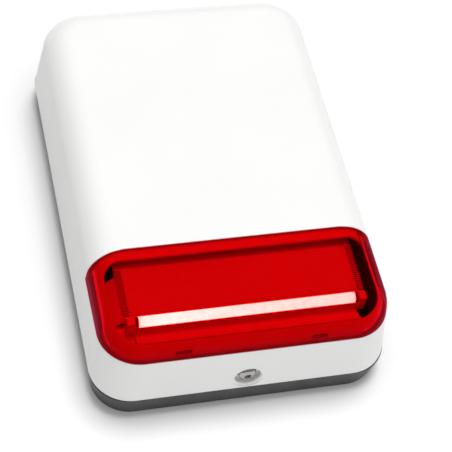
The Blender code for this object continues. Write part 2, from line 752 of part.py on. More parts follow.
def make_tube_holder(word, side):
    """A moulded socket that takes one pin of the tube."""
    face = BOWL_HALF + GAP
    ends = sorted((side * face, side * (face + 5 * MM)))
    low = (ends[0], TUBE_Y - 3.4 * MM, 61 * MM)
    holder = piece(f"tube_holder_{word}", block(low, (ends[1], TUBE_Y + 2 * MM, TUBE_Z + 3 * MM)), WHITE_INNER)
    pin_start = face - MM if side > 0 else -(face + 3.4 * MM)
    cut(holder, f"pin socket {word}", drum((pin_start, TUBE_Y, TUBE_Z), 1.6 * MM, 4.4 * MM, "X", steps=10))


# Sounder: horn over the floor slots, with its driver on the throat


def horn_profile():
    """Closed section of the exponential horn, from the throat down its outside and back up its inside."""
    steps = 6
    height = HORN_THROAT_Z - DUCT_FLOOR - GAP
    growth = math.log(MOUTH_RADIUS / THROAT_RADIUS) / height
    inner = []
    for i in range(steps + 1):
        drop = height * i / steps
        inner.append((THROAT_RADIUS * math.exp(growth * drop), height - drop))
    outer = [(radius + HORN_WALL, level) for radius, level in inner[:-1] if level > SHEET]
    rim = MOUTH_RADIUS + 4 * MM
    outer += [(MOUTH_RADIUS - MM, SHEET), (rim, SHEET), (rim, 0)]
    return outer + inner[::-1]


def make_sounder():
    rest = DUCT_FLOOR + GAP
    horn = turned("horn", horn_profile(), BLACK_MOULDING, (0, HORN_Y, rest))
    for word, y in zip(("low", "high"), horn_ears()):
        outward = math.copysign(1, y - HORN_Y)
        ends = sorted((y - outward * 6 * MM, y + outward * 4 * MM))
        join(horn, f"horn ear {word}", block((-5 * MM, ends[0], rest), (5 * MM, ends[1], rest + SHEET)))
        cut(horn, f"horn ear hole {word}", drum((0, y, rest - MM), 1.5 * MM + GAP, SHEET + 2 * MM, steps=10))
        machine_screw(f"horn_screw_{word}", 0, y, rest + SHEET + GAP, 5 * MM, STEEL)
    depth = DRIVER_DEPTH
    shell = [
        (0, depth),
        (DRIVER_RADIUS - 4 * MM, depth),
        (DRIVER_RADIUS - MM, depth - 2 * MM),
        (DRIVER_RADIUS, depth - 5 * MM),
        (DRIVER_RADIUS, 2 * MM),
        (DRIVER_RADIUS - 2 * MM, 0),
        (0, 0),
    ]
    turned("sounder_driver", shell, BLACK_MOULDING, (0, HORN_Y, HORN_THROAT_Z + GAP))


# Electronics


def make_board():
    plate = block((-BOARD_HALF_X, BOARD_Y[0], BOARD_Z), (BOARD_HALF_X, BOARD_Y[1], BOARD_Z + BOARD_THICK))
    board = piece("main_board", plate, CIRCUIT_GREEN)
    for index, (x, y) in enumerate(board_corners()):
        cut(board, f"board hole {index + 1}", drum((x, y, BOARD_Z - MM), 1.5 * MM + GAP, 4 * MM, steps=10))
        machine_screw(f"board_screw_{index + 1}", x, y, BOARD_Z + BOARD_THICK + GAP, 5 * MM, STEEL)
    deck = BOARD_Z + BOARD_THICK + GAP
    make_terminals("input_terminals", -58 * MM, 10, deck)
    make_terminals("battery_terminals", 10 * MM, 2, deck)
    for index, x in enumerate((28 * MM, 50 * MM)):
        turned(f"smoothing_capacitor_{index + 1}", can_profile(8 * MM, 24 * MM), CAN_BLUE, (x, 66 * MM, deck), 18)
    ring = arc((10.5 * MM, 5 * MM), 4.5 * MM, 0, -330, 11)
    turned("sounder_coil", ring, COPPER_COIL, (-8 * MM, 66 * MM, deck), 20)
    chip = block((-42 * MM, 80 * MM, deck), (-28 * MM, 94 * MM, deck + SHEET))
    piece("controller_chip", chip, BLACK_MOULDING)
    for name, x in (("sounder_plug", 32 * MM), ("lamp_plug", 44 * MM), ("tamper_plug", 55 * MM)):
        piece(name, block((x - 4 * MM, 33 * MM, deck), (x + 4 * MM, 39 * MM, deck + 6 * MM)), WHITE_INNER)


def can_profile(radius, height):
    """A capacitor can: rolled top edge and a groove near its foot."""
    return [
        (0, height),
        (radius - 0.8 * MM, height),
        (radius, height - 0.8 * MM),
        (radius, 4 * MM),
        (radius - 0.7 * MM, 3.2 * MM),
        (radius, 2.4 * MM),
        (radius, 0),
        (0, 0),
    ]


def make_terminals(name, first_x, ways, deck):
    """A row of screw terminals: wells on top, wire mouths in front."""
    pitch = 5.2 * MM
    low_y, high_y = 33 * MM, 42 * MM
    row = piece(name, block((first_x, low_y, deck), (first_x + ways * pitch, high_y, deck + 10 * MM)), TERMINAL_GREEN)
    wells = []
    for way in range(ways):
        x = first_x + pitch * (way + 0.5)
        wells.append(drum((x, 38.5 * MM, deck + 8 * MM), 1.9 * MM, 3 * MM, steps=8))
        wells.append(block((x - 1.7 * MM, low_y - MM, deck + 1.5 * MM), (x + 1.7 * MM, low_y + 2 * MM, deck + 5 * MM)))
    cut(row, f"{name} wells", merged(*wells))


def make_battery():
    rest = FLOOR + GAP
    half_x, half_y = BATTERY_SIZE[0] / 2, BATTERY_SIZE[1] / 2
    top = rest + BATTERY_SIZE[2]
    centre_y = sum(BATTERY_Y) / 2
    case = drafted_box((half_x, half_y), rest, top, 0, 2.5 * MM, 1.2 * MM, 3, 2)
    bmesh.ops.translate(case, verts=case.verts, vec=(0, centre_y, 0))
    piece("battery", case, BATTERY_CASE, (0, centre_y, rest))
    for word, x in (("red", 38 * MM), ("black", -38 * MM)):
        blade = block((x - 3.1 * MM, -77.9 * MM, top + GAP), (x + 3.1 * MM, -77.1 * MM, top + 6.5 * MM))
        piece(f"battery_tab_{word}", blade, BRASS)
    make_strap(half_x + 0.6 * MM, top + GAP)


def make_strap(inner_x, inner_z):
    """Sheet strap over the battery, with a screwed foot each side."""
    sheet = 1.5 * MM
    foot_z = 7 * MM + GAP
    reach = 64 * MM
    outer_x, outer_z = inner_x + sheet, inner_z + sheet
    half = [(inner_x, inner_z), (inner_x, foot_z), (reach, foot_z), (reach, foot_z + sheet)]
    half += [(outer_x, foot_z + sheet), (outer_x, outer_z)]
    outline = half + [(-x, z) for x, z in reversed(half)]
    strap = piece("battery_strap", end_profile(outline, BRACKET_Y - 7 * MM, BRACKET_Y + 7 * MM), ZINC_SHEET)
    for side, word in ((-1, "left"), (1, "right")):
        x = side * BRACKET_SCREW_X
        cut(strap, f"strap hole {word}", drum((x, BRACKET_Y, foot_z - MM), 1.5 * MM + GAP, 4 * MM, steps=10))
        machine_screw(f"strap_screw_{word}", x, BRACKET_Y, foot_z + sheet + GAP, 5 * MM, STEEL)


# Tamper switch: stands on a tab that stays on the wall, and feels the cover's post


def make_tamper():
    x, y = SWITCH_PLACE
    tab = piece("tear_off_tab", drum((x, y, 0), TAB_RADIUS, FLOOR, steps=24), CHARCOAL_SHELL, (x, y, 0))
    post_top = 8 * MM
    join(tab, "tab post", block((x - 8 * MM, y - 3.5 * MM, MM), (x + 5 * MM, y + 3.5 * MM, post_top)))
    cut(tab, "tab screw hole", drum((x + 7.5 * MM, y, -MM), 1.8 * MM, FLOOR + 2 * MM, steps=12))
    body = block((x - 10 * MM, y - 3.2 * MM, post_top + GAP), (x + 10 * MM, y + 3.2 * MM, SWITCH_TOP))
    switch = piece("tamper_switch", body, BLACK_MOULDING, (x, y, SWITCH_TOP))
    shaft = 1.3 * MM
    cut(switch, "plunger bore", drum((x, y, SWITCH_TOP - 5 * MM), shaft + GAP, 6 * MM, steps=12))
    cap_low = PLUNGER_TIP - 1.5 * MM
    stem = drum((x, y, SWITCH_TOP - 4 * MM), shaft, cap_low - SWITCH_TOP + 4.5 * MM, steps=12)
    plunger = piece("tamper_plunger", stem, WHITE_INNER, (x, y, SWITCH_TOP))
    join(plunger, "plunger cap", drum((x, y, cap_low), 3 * MM, 1.5 * MM, steps=16))
    make_spring(x, y, SWITCH_TOP + GAP, cap_low - GAP)


def make_spring(x, y, low, high):
    """The plunger's return spring, wound from its seat up to the cap."""
    wire = 0.3 * MM
    radius = 2.3 * MM
    turns, per_turn = 3, 10
    rise = high - low - 2 * wire
    steps = turns * per_turn
    points = []
    for i in range(steps + 1):
        angle = math.tau * i / per_turn
        points.append((x + radius * math.cos(angle), y + radius * math.sin(angle), low + wire + rise * i / steps))
    piece("tamper_spring", tube_along(points, wire, 1), STEEL, (x, y, low))


def make_grommet():
    outline = [(11, 5), (11, 3.3), (8.6, 3.3), (8.6, 0.3), (6, 0.3), (5, 5)]
    profile = [(radius * MM, height * MM) for radius, height in outline]
    turned("cable_grommet", profile, BLACK_RUBBER, (*GROMMET_PLACE, 0), 20)


def make_leads():
    """Short leads between the boards, battery, sounder, lamp and tamper switch."""
    red = [(38, -77.5, 54.3), (40, -70, 54), (43, -48, 42), (37, -6, 22), (24, 20, 16.5), (17.8, 32.5, 14.4)]
    black = [(-38, -77.5, 54.3), (-40, -70, 54), (-43, -48, 42), (-36, -4, 24), (-12, 20, 20), (12.6, 32.5, 14.4)]
    sounder = [(27.2, -22, 40), (33, -14, 39), (37, 10, 26), (34, 26, 16), (32, 32.4, 14)]
    lamp = [(32.8, -97, 52), (37, -95, 53), (46, -84, 55), (51, -66, 52), (52, -46, 44)]
    lamp += [(53, -4, 24), (47, 22, 15), (44, 32.4, 14)]
    tamper = [(59, 15, 12), (56, 19, 12.5), (55, 26, 13.5), (55, 32.4, 14)]
    leads = (
        ("battery_lead_red", red, RED_WIRE),
        ("battery_lead_black", black, BLACK_WIRE),
        ("sounder_lead", sounder, GREY_WIRE),
        ("lamp_lead", lamp, GREY_WIRE),
        ("tamper_lead", tamper, GREY_WIRE),
    )
    for name, knots, material in leads:
        points = smooth_route([[value * MM for value in knot] for knot in knots])
        piece(name, tube_along(points, 0.9 * MM, 1), material)


make_base()
make_cover()
make_lens()
make_lock()
make_lock_bracket()
make_light()
make_sounder()
make_board()
make_battery()
make_tamper()
make_grommet()
make_leads()
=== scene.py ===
"""Looks of the outdoor alarm siren: housing, warning lens, light, lock and the works inside.

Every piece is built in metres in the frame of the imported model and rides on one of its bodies.
"""

from __future__ import annotations

import logging
import math
from dataclasses import dataclass, field
from enum import Enum
from typing import Iterable, Sequence

import bmesh
import bpy
from mathutils import Matrix, Vector


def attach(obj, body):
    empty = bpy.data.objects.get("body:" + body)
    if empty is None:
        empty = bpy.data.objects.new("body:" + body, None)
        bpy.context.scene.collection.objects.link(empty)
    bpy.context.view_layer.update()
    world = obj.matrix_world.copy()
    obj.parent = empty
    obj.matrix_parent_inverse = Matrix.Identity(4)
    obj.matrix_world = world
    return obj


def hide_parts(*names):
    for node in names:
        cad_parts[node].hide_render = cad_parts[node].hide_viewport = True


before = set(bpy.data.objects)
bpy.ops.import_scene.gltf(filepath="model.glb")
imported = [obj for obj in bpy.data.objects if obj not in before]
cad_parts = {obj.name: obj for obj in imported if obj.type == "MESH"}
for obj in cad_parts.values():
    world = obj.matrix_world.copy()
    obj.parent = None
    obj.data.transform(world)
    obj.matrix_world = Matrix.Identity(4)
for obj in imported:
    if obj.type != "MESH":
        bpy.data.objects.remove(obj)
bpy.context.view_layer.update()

MM = 0.001
GAP = 0.3 * MM
M3_HOLE = 1.8 * MM
SIDES = ((-1, "left"), (1, "right"))
LOG = logging.getLogger("alarm_siren")

Point = Sequence[float]
Shape = bmesh.types.BMesh
Step = tuple[str, Shape]


class Body(Enum):
    """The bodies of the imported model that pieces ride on."""

    ROOT = "root"
    COVER = "cover"
    LOCK_SCREW = "lock_screw"
    PLUNGER = "plunger"


class Axis(Enum):
    """Directions that a turned or extruded shape can run along."""

    X = Matrix.Rotation(math.radians(90), 3, "Y")
    Y = Matrix.Rotation(math.radians(-90), 3, "X")
    Z = Matrix.Identity(3)


# Finishes


class NodeTree:
    """A material's nodes, added one call at a time."""

    def __init__(self, name: str) -> None:
        """Starts a material of that name with an empty tree."""
        self.material = bpy.data.materials.new(name)
        self.material.use_nodes = True
        self.tree = self.material.node_tree
        self.tree.nodes.clear()

    def add(self, kind: str, **settings: object) -> bpy.types.Node:
        """Adds a node.

        Args:
            kind: the node's type without its ShaderNode prefix.
            settings: node properties, or socket values where the name is a socket's with _ for each space.

        Returns:
            The new node.
        """
        node = self.tree.nodes.new("ShaderNode" + kind)
        for key, value in settings.items():
            if hasattr(node, key):
                setattr(node, key, value)
            else:
                node.inputs[key.replace("_", " ")].default_value = value
        return node

    def link(self, source: bpy.types.NodeSocket, target: bpy.types.NodeSocket) -> None:
        """Joins two sockets."""
        self.tree.links.new(source, target)

    def noise(self, scale: float, detail: float = 2.0) -> bpy.types.NodeSocket:
        """Returns the factor of a noise pattern in the piece's own coordinates, scale in cells a metre."""
        place = self.add("TexCoord").outputs["Object"]
        node = self.add("TexNoise", Scale=scale, Detail=detail)
        self.link(place, node.inputs["Vector"])
        return node.outputs["Fac"]

    def spread(self, source: bpy.types.NodeSocket, low: float, high: float) -> bpy.types.NodeSocket:
        """Returns the middle of a pattern stretched to run from low to high."""
        node = self.add("MapRange", From_Min=0.3, From_Max=0.7, To_Min=low, To_Max=high)
        self.link(source, node.inputs["Value"])
        return node.outputs["Result"]

    def blend(self, source: bpy.types.NodeSocket, first: Point, second: Point) -> bpy.types.NodeSocket:
        """Returns a colour that runs from first to second as the pattern rises."""
        ramp = self.add("ValToRGB")
        ramp.color_ramp.elements[0].position = 0.3
        ramp.color_ramp.elements[1].position = 0.7
        ramp.color_ramp.elements[0].color = (*first, 1.0)
        ramp.color_ramp.elements[1].color = (*second, 1.0)
        self.link(source, ramp.inputs["Fac"])
        return ramp.outputs["Color"]

    def bump(
        self, source: bpy.types.NodeSocket, depth: float, below: bpy.types.NodeSocket | None = None
    ) -> bpy.types.NodeSocket:
        """Returns a normal roughened by the pattern to a depth in metres, over another normal if given."""
        node = self.add("Bump", Strength=1.0, Distance=depth)
        self.link(source, node.inputs["Height"])
        if below is not None:
            self.link(below, node.inputs["Normal"])
        return node.outputs["Normal"]

    def finish(self, surface: bpy.types.NodeSocket) -> bpy.types.Material:
        """Joins the surface to the output and returns the material."""
        self.link(surface, self.add("OutputMaterial").inputs["Surface"])
        return self.material


def shade(colour: Point, factor: float) -> tuple[float, float, float]:
    """Returns the colour made darker or lighter by a factor."""
    return tuple(min(1.0, channel * factor) for channel in colour)


@dataclass(frozen=True)
class Moulded:
    """A moulded plastic or rubber: fine spark-eroded grain, faint flow mottling and uneven gloss."""

    slot: str
    colour: tuple[float, float, float]
    roughness: float
    grain: float = 2600.0
    depth: float = 0.012 * MM
    mottle: float = 0.03
    specular: float = 0.5
    coat: float = 0.0

    def build(self) -> bpy.types.Material:
        """Returns the material."""
        nodes = NodeTree(self.slot)
        shader = nodes.add(
            "BsdfPrincipled", Specular_IOR_Level=self.specular, Coat_Weight=self.coat, Coat_Roughness=0.12
        )
        flow = nodes.noise(14.0, 3.0)
        darker, lighter = shade(self.colour, 1 - self.mottle), shade(self.colour, 1 + self.mottle / 2)
        nodes.link(nodes.blend(flow, darker, lighter), shader.inputs["Base Color"])
        smear = nodes.noise(90.0, 4.0)
        nodes.link(
            nodes.spread(smear, self.roughness * 0.88, self.roughness * 1.12), shader.inputs["Roughness"]
        )
        waves = nodes.bump(nodes.noise(55.0, 1.0), self.depth * 2)
        nodes.link(nodes.bump(nodes.noise(self.grain, 3.0), self.depth, waves), shader.inputs["Normal"])
        return nodes.finish(shader.outputs["BSDF"])


@dataclass(frozen=True)
class TintedClear:
    """A polished clear plastic, tinted right through, with a soft gloss."""

    slot: str
    tint: tuple[float, float, float]
    gloss_index: float = 1.2
    sheen: tuple[float, float, float] = (0.85, 0.12, 0.24)

    def build(self) -> bpy.types.Material:
        """Returns the material."""
        nodes = NodeTree(self.slot)
        clear = nodes.add("BsdfTransparent", Color=(*self.tint, 1.0))
        gloss = nodes.add("BsdfGlossy", Color=(*self.sheen, 1.0), Roughness=0.06)
        edge = nodes.add("Fresnel", IOR=self.gloss_index)
        ripple = nodes.bump(nodes.noise(120.0, 1.0), 0.01 * MM)
        nodes.link(ripple, gloss.inputs["Normal"])
        mix = nodes.add("MixShader")
        nodes.link(edge.outputs["Fac"], mix.inputs["Fac"])
        nodes.link(clear.outputs["BSDF"], mix.inputs[1])
        nodes.link(gloss.outputs["BSDF"], mix.inputs[2])
        return nodes.finish(mix.outputs["Shader"])


@dataclass(frozen=True)
class LitTube:
    """Frosted glass lit from inside: brightest near one end, dimmer and pinker at both electrodes."""

    slot: str
    half: float
    glow: float
    warm: tuple[float, float, float] = (0.8, 1.0, 0.46)
    dim: tuple[float, float, float] = (0.7, 0.46, 0.22)

    def build(self) -> bpy.types.Material:
        """Returns the material."""
        nodes = NodeTree(self.slot)
        split = nodes.add("SeparateXYZ")
        nodes.link(nodes.add("TexCoord").outputs["Object"], split.inputs["Vector"])
        along = nodes.add("MapRange", From_Min=-self.half, From_Max=self.half, To_Min=0.0, To_Max=1.0)
        nodes.link(split.outputs["X"], along.inputs["Value"])
        ramp = nodes.add("ValToRGB").color_ramp
        stops = (
            (0.0, self.dim),
            (0.025, shade(self.warm, 0.9)),
            (0.12, self.warm),
            (0.5, shade(self.warm, 0.84)),
            (0.975, shade(self.warm, 0.74)),
            (1.0, self.dim),
        )
        while len(ramp.elements) < len(stops):
            ramp.elements.new(0.5)
        for element, (position, colour) in zip(ramp.elements, stops):
            element.position = position
            element.color = (*colour, 1.0)
        colours = nodes.tree.nodes[-1]
        nodes.link(along.outputs["Result"], colours.inputs["Fac"])
        streaks = nodes.noise(260.0, 3.0)
        shader = nodes.add("BsdfPrincipled", Base_Color=(0.9, 0.88, 0.86, 1.0), Roughness=0.35)
        nodes.link(colours.outputs["Color"], shader.inputs["Emission Color"])
        nodes.link(
            nodes.spread(streaks, self.glow * 0.9, self.glow * 1.05), shader.inputs["Emission Strength"]
        )
        return nodes.finish(shader.outputs["BSDF"])


@dataclass(frozen=True)
class Metal:
    """A metal: spangled sheet, drawn wire or a turned face, by the scale and stretch of its grain."""

    slot: str
    colour: tuple[float, float, float]
    roughness: float
    grain: float = 900.0
    spangle: float = 0.0
    stretch: tuple[float, float, float] = (1.0, 1.0, 1.0)
    depth: float = 0.006 * MM

    def build(self) -> bpy.types.Material:
        """Returns the material."""
        nodes = NodeTree(self.slot)
        shader = nodes.add("BsdfPrincipled", Metallic=1.0)
        place = nodes.add("Mapping", Scale=self.stretch)
        nodes.link(nodes.add("TexCoord").outputs["Object"], place.inputs["Vector"])
        grain = nodes.add("TexNoise", Scale=self.grain, Detail=3.0)
        nodes.link(place.outputs["Vector"], grain.inputs["Vector"])
        pattern = grain.outputs["Fac"]
        if self.spangle:
            flakes = nodes.add("TexVoronoi", Scale=self.spangle)
            nodes.link(place.outputs["Vector"], flakes.inputs["Vector"])
            split = nodes.add("SeparateColor")
            nodes.link(flakes.outputs["Color"], split.inputs["Color"])
            pattern = split.outputs["Red"]
        nodes.link(
            nodes.blend(pattern, shade(self.colour, 0.82), shade(self.colour, 1.06)),
            shader.inputs["Base Color"],
        )
        nodes.link(
            nodes.spread(pattern, self.roughness * 0.8, self.roughness * 1.25), shader.inputs["Roughness"]
        )
        nodes.link(nodes.bump(grain.outputs["Fac"], self.depth), shader.inputs["Normal"])
        return nodes.finish(shader.outputs["BSDF"])


@dataclass(frozen=True)
class CircuitMask:
    """Solder mask over copper tracks, which run at right angles and show a little lighter and raised."""

    slot: str
    colour: tuple[float, float, float]
    pitch: float = 2.4 * MM

    def build(self) -> bpy.types.Material:
        """Returns the material."""
        nodes = NodeTree(self.slot)
        shader = nodes.add("BsdfPrincipled", Coat_Weight=0.4, Coat_Roughness=0.15, Specular_IOR_Level=0.5)
        place = nodes.add("TexCoord").outputs["Object"]
        cells = nodes.add(
            "TexVoronoi", feature="F1", distance="CHEBYCHEV", Scale=1 / (3 * self.pitch), Randomness=1.0
        )
        nodes.link(place, cells.inputs["Vector"])
        bands = nodes.add("Math", operation="FRACT")
        many = nodes.add("Math", operation="MULTIPLY")
        many.inputs[1].default_value = 4.5
        nodes.link(cells.outputs["Distance"], many.inputs[0])
        nodes.link(many.outputs["Value"], bands.inputs[0])
        track = nodes.add("MapRange", From_Min=0.55, From_Max=0.66, To_Min=0.0, To_Max=1.0)
        nodes.link(bands.outputs["Value"], track.inputs["Value"])
        nodes.link(
            nodes.blend(track.outputs["Result"], self.colour, shade(self.colour, 1.9)),
            shader.inputs["Base Color"],
        )
        nodes.link(nodes.spread(nodes.noise(500.0), 0.3, 0.42), shader.inputs["Roughness"])
        nodes.link(nodes.bump(track.outputs["Result"], 0.03 * MM), shader.inputs["Normal"])
        return nodes.finish(shader.outputs["BSDF"])


class Palette:
    """The siren's finishes, built once and shared by slot name."""

    FINISHES = (
        Moulded("white_shell", (0.8, 0.8, 0.79), 0.34, grain=3200.0, depth=0.006 * MM, mottle=0.015),
        Moulded("charcoal_shell", (0.034, 0.03, 0.031), 0.48, grain=1900.0, depth=0.02 * MM, mottle=0.12),
        TintedClear("red_lens", (0.925, 0.12, 0.17), 1.16),
        Moulded("white_inner", (0.82, 0.82, 0.81), 0.4, grain=2400.0, mottle=0.03),
        LitTube("lamp_glass", half=72.2 * MM, glow=66.0),
        Moulded("black_moulding", (0.02, 0.02, 0.022), 0.42, grain=1500.0, depth=0.02 * MM, mottle=0.2),
        Metal("steel", (0.44, 0.43, 0.42), 0.17, grain=2600.0),
        Metal("zinc_sheet", (0.56, 0.57, 0.58), 0.38, grain=700.0, spangle=260.0),
        Metal("brass_tab", (0.78, 0.58, 0.27), 0.3, stretch=(1.0, 1.0, 8.0)),
        CircuitMask("circuit_green", (0.012, 0.11, 0.04)),
        Moulded("terminal_green", (0.04, 0.33, 0.12), 0.4, mottle=0.08),
        Moulded("black_rubber", (0.016, 0.016, 0.016), 0.75, grain=900.0, depth=0.03 * MM, mottle=0.3),
        Metal("copper_coil", (0.62, 0.27, 0.11), 0.3, grain=1200.0),
        Moulded("can_blue", (0.02, 0.045, 0.17), 0.28, mottle=0.1, coat=0.5),
        Moulded("battery_case", (0.035, 0.035, 0.04), 0.55, grain=1200.0, depth=0.03 * MM, mottle=0.2),
        Moulded("red_wire", (0.5, 0.015, 0.015), 0.4, mottle=0.1),
        Moulded("black_wire", (0.02, 0.02, 0.02), 0.4, mottle=0.2),
        Moulded("grey_wire", (0.33, 0.33, 0.34), 0.42, mottle=0.1),
    )

    def __init__(self) -> None:
        """Builds every finish."""
        self.materials = {finish.slot: finish.build() for finish in self.FINISHES}

    def __getitem__(self, slot: str) -> bpy.types.Material:
        """Returns the material of a slot."""
        return self.materials[slot]


# Shapes


def merged(*shapes: Shape) -> Shape:
    """Returns several shapes as one, freeing the rest."""
    whole = shapes[0]
    for shape in shapes[1:]:
        mesh = bpy.data.meshes.new("merge")
        shape.to_mesh(mesh)
        shape.free()
        whole.from_mesh(mesh)
        bpy.data.meshes.remove(mesh)
    return whole


def sweep(degrees: float, steps: int) -> list[float]:
    """Returns angles in radians from 0 to a number of degrees."""
    return [math.radians(degrees) * i / steps for i in range(steps + 1)]


def join(shape: Shape) -> Step:
    """Returns the step of a carving that joins a shape on."""
    return "UNION", shape


def cut(shape: Shape) -> Step:
    """Returns the step of a carving that cuts a shape away."""
    return "DIFFERENCE", shape


def in_mm(*points: Point) -> list[tuple[float, ...]]:
    """Returns points in metres from points in millimetres."""
    return [tuple(value * MM for value in point) for point in points]


def block(low: Point, high: Point, soft: float = 0.0, segments: int = 2) -> Shape:
    """Makes a box between two opposite corners.

    Args:
        low: its lowest corner.
        high: its highest corner.
        soft: radius of its edges.
        segments: steps across each rounded edge.

    Returns:
        The closed shape.
    """
    shape = bmesh.new()
    low, high = Vector(low), Vector(high)
    bmesh.ops.create_cube(shape, size=1)
    bmesh.ops.scale(shape, verts=shape.verts, vec=high - low)
    bmesh.ops.translate(shape, verts=shape.verts, vec=(low + high) / 2)
    if soft:
        round_edges(shape, shape.edges[:], soft, segments)
    return shape


def slab(low: Point, size: Point, soft: float = 0.0, segments: int = 2) -> Shape:
    """Returns a box from its lowest corner and its size in millimetres."""
    high = [start + length * MM for start, length in zip(low, size)]
    return block(low, high, soft, segments)


def round_edges(
    shape: Shape, edges: Iterable[bmesh.types.BMEdge], radius: float, segments: int = 2, clamp: bool = False
) -> None:
    """Rounds some of a shape's edges in place.

    Args:
        shape: the shape.
        edges: the edges to round.
        radius: how far the rounding reaches.
        segments: steps across the rounding.
        clamp: keeps the rounding of close edges from crossing.
    """
    bmesh.ops.bevel(
        shape,
        geom=list(edges),
        offset=radius,
        offset_type="OFFSET",
        segments=segments,
        profile=0.5,
        affect="EDGES",
        clamp_overlap=clamp,
    )


def lathe(
    profile: Sequence[tuple[float, float]], place: Point, axis: Axis = Axis.Z, steps: int = 48
) -> Shape:
    """Sweeps a profile of (radius, height) points about an axis through place.

    Args:
        profile: open if both ends are on the axis, or else closed back to its start.
        place: where height 0 is on the axis.
        axis: the direction heights run along.
        steps: flats around the turn.

    Returns:
        The closed shape.
    """
    shape = bmesh.new()
    rings = []
    for radius, height in profile:
        if radius < 1e-7:
            rings.append([shape.verts.new((0, 0, height))])
            continue
        turns = (math.tau * i / steps for i in range(steps))
        rings.append([shape.verts.new((radius * math.cos(t), radius * math.sin(t), height)) for t in turns])
    closed = len(rings[0]) > 1
    pairs = list(zip(rings, rings[1:] + rings[:1] if closed else rings[1:]))
    for first, second in pairs:
        for i in range(steps):
            corners = [
                first[i % len(first)],
                first[(i + 1) % len(first)],
                second[(i + 1) % len(second)],
                second[i % len(second)],
            ]
            unique = list(dict.fromkeys(corners))
            if len(unique) > 2:
                shape.faces.new(unique)
    bmesh.ops.recalc_face_normals(shape, faces=shape.faces)
    bmesh.ops.rotate(shape, verts=shape.verts, cent=(0, 0, 0), matrix=axis.value)
    bmesh.ops.translate(shape, verts=shape.verts, vec=place)
    return shape


def drum(
    place: Point, radius: float, length: float, axis: Axis = Axis.Z, soft: float = 0.0, steps: int = 48
) -> Shape:
    """Returns a cylinder from place along the axis, its two rims rounded by soft."""
    if not soft:
        return lathe([(0, 0), (radius, 0), (radius, length), (0, length)], place, axis, steps)
    low = [(radius - soft + soft * math.sin(t), soft - soft * math.cos(t)) for t in sweep(90, 2)]
    high = [(r, length - h) for r, h in reversed(low)]
    return lathe([(0, 0), *low, *high, (0, length)], place, axis, steps)


def prism(outline: Sequence[tuple[float, float]], low: float, high: float, axis: Axis = Axis.Z) -> Shape:
    """Extrudes an outline between two levels of an axis.

    Args:
        outline: (x, y) points for Z, (y, z) points for X and (x, z) points for Y.
        low: the first level.
        high: the second level.
        axis: the direction of the extrusion.

    Returns:
        The closed shape.
    """
    order = {Axis.X: (2, 0, 1), Axis.Y: (0, 2, 1), Axis.Z: (0, 1, 2)}[axis]
    shape = bmesh.new()
    rings = []
    for level in (low, high):
        triples = ((a, b, level) for a, b in outline)
        rings.append([shape.verts.new([triple[i] for i in order]) for triple in triples])
    count = len(outline)
    shape.faces.new(rings[0])
    shape.faces.new(rings[1])
    for i in range(count):
        j = (i + 1) % count
        shape.faces.new((rings[0][i], rings[0][j], rings[1][j], rings[1][i]))
    bmesh.ops.recalc_face_normals(shape, faces=shape.faces)
    return shape


def arc(centre: tuple[float, float], radius: float, start: float, stop: float, steps: int) -> list[
    tuple[float, float]
]:
    """Returns points along an arc, angles in degrees."""
    angles = (math.radians(start + (stop - start) * i / steps) for i in range(steps + 1))
    return [
        (centre[0] + radius * math.cos(angle), centre[1] + radius * math.sin(angle)) for angle in angles
    ]


def rounded_rectangle(low: Point, high: Point, radii: Sequence[float], steps: int = 12) -> list[
    tuple[float, float]
]:
    """Returns an outline anticlockwise from the lower left corner, with one radius for each corner."""
    corners = (
        (low[0], low[1], 1, 1),
        (high[0], low[1], -1, 1),
        (high[0], high[1], -1, -1),
        (low[0], high[1], 1, -1),
    )
    points: list[tuple[float, float]] = []
    for quarter, ((x, y, in_x, in_y), radius) in enumerate(zip(corners, radii)):
        centre = (x + in_x * radius, y + in_y * radius)
        points += arc(centre, radius, 180 + 90 * quarter, 270 + 90 * quarter, steps)
    return points


def smooth_route(knots: Sequence[Point], per_span: int = 10) -> list[Vector]:
    """Returns points of a Catmull-Rom curve through the knots."""
    held = [Vector(knot) for knot in knots]
    padded = [2 * held[0] - held[1], *held, 2 * held[-1] - held[-2]]
    points = []
    for a, b, c, d in zip(padded, padded[1:], padded[2:], padded[3:]):
        for i in range(per_span):
            t = i / per_span
            cubic = 2 * b + (c - a) * t + (2 * a - 5 * b + 4 * c - d) * t**2 + (
                3 * b - a - 3 * c + d
            ) * t**3
            points.append(cubic / 2)
    return [*points, held[-1]]


def tube(points: Sequence[Point], radius: float, sides: int = 12, closed: bool = False) -> Shape:
    """Makes a round tube along points, with its section carried along without twist.

    Args:
        points: the centreline.
        radius: half the tube's thickness.
        sides: flats around the tube.
        closed: joins the last point to the first in place of end caps.

    Returns:
        The closed shape.
    """
    shape = bmesh.new()
    line = [Vector(point) for point in points]
    count = len(line)
    rings = []
    normal = None
    for i, here in enumerate(line):
        before = line[i - 1] if closed or i else line[0]
        after = line[(i + 1) % count] if closed or i + 1 < count else line[-1]
        along = (after - before).normalized()
        normal = along.orthogonal() if normal is None else normal - along * normal.dot(along)
        normal.normalize()
        across = along.cross(normal)
        angles = (math.tau * k / sides for k in range(sides))
        rings.append(
            [shape.verts.new(here + radius * (normal * math.cos(a) + across * math.sin(a))) for a in angles]
        )
    pairs = list(zip(rings, rings[1:] + rings[:1] if closed else rings[1:]))
    for first, second in pairs:
        shift = 0
        if closed and second is rings[0]:
            shift = min(range(sides), key=lambda k: (first[0].co - second[k].co).length)
        for i in range(sides):
            j = (i + 1) % sides
            shape.faces.new((first[i], first[j], second[(j + shift) % sides], second[(i + shift) % sides]))
    if not closed:
        shape.faces.new(rings[0])
        shape.faces.new(rings[-1])
    bmesh.ops.recalc_face_normals(shape, faces=shape.faces)
    return shape


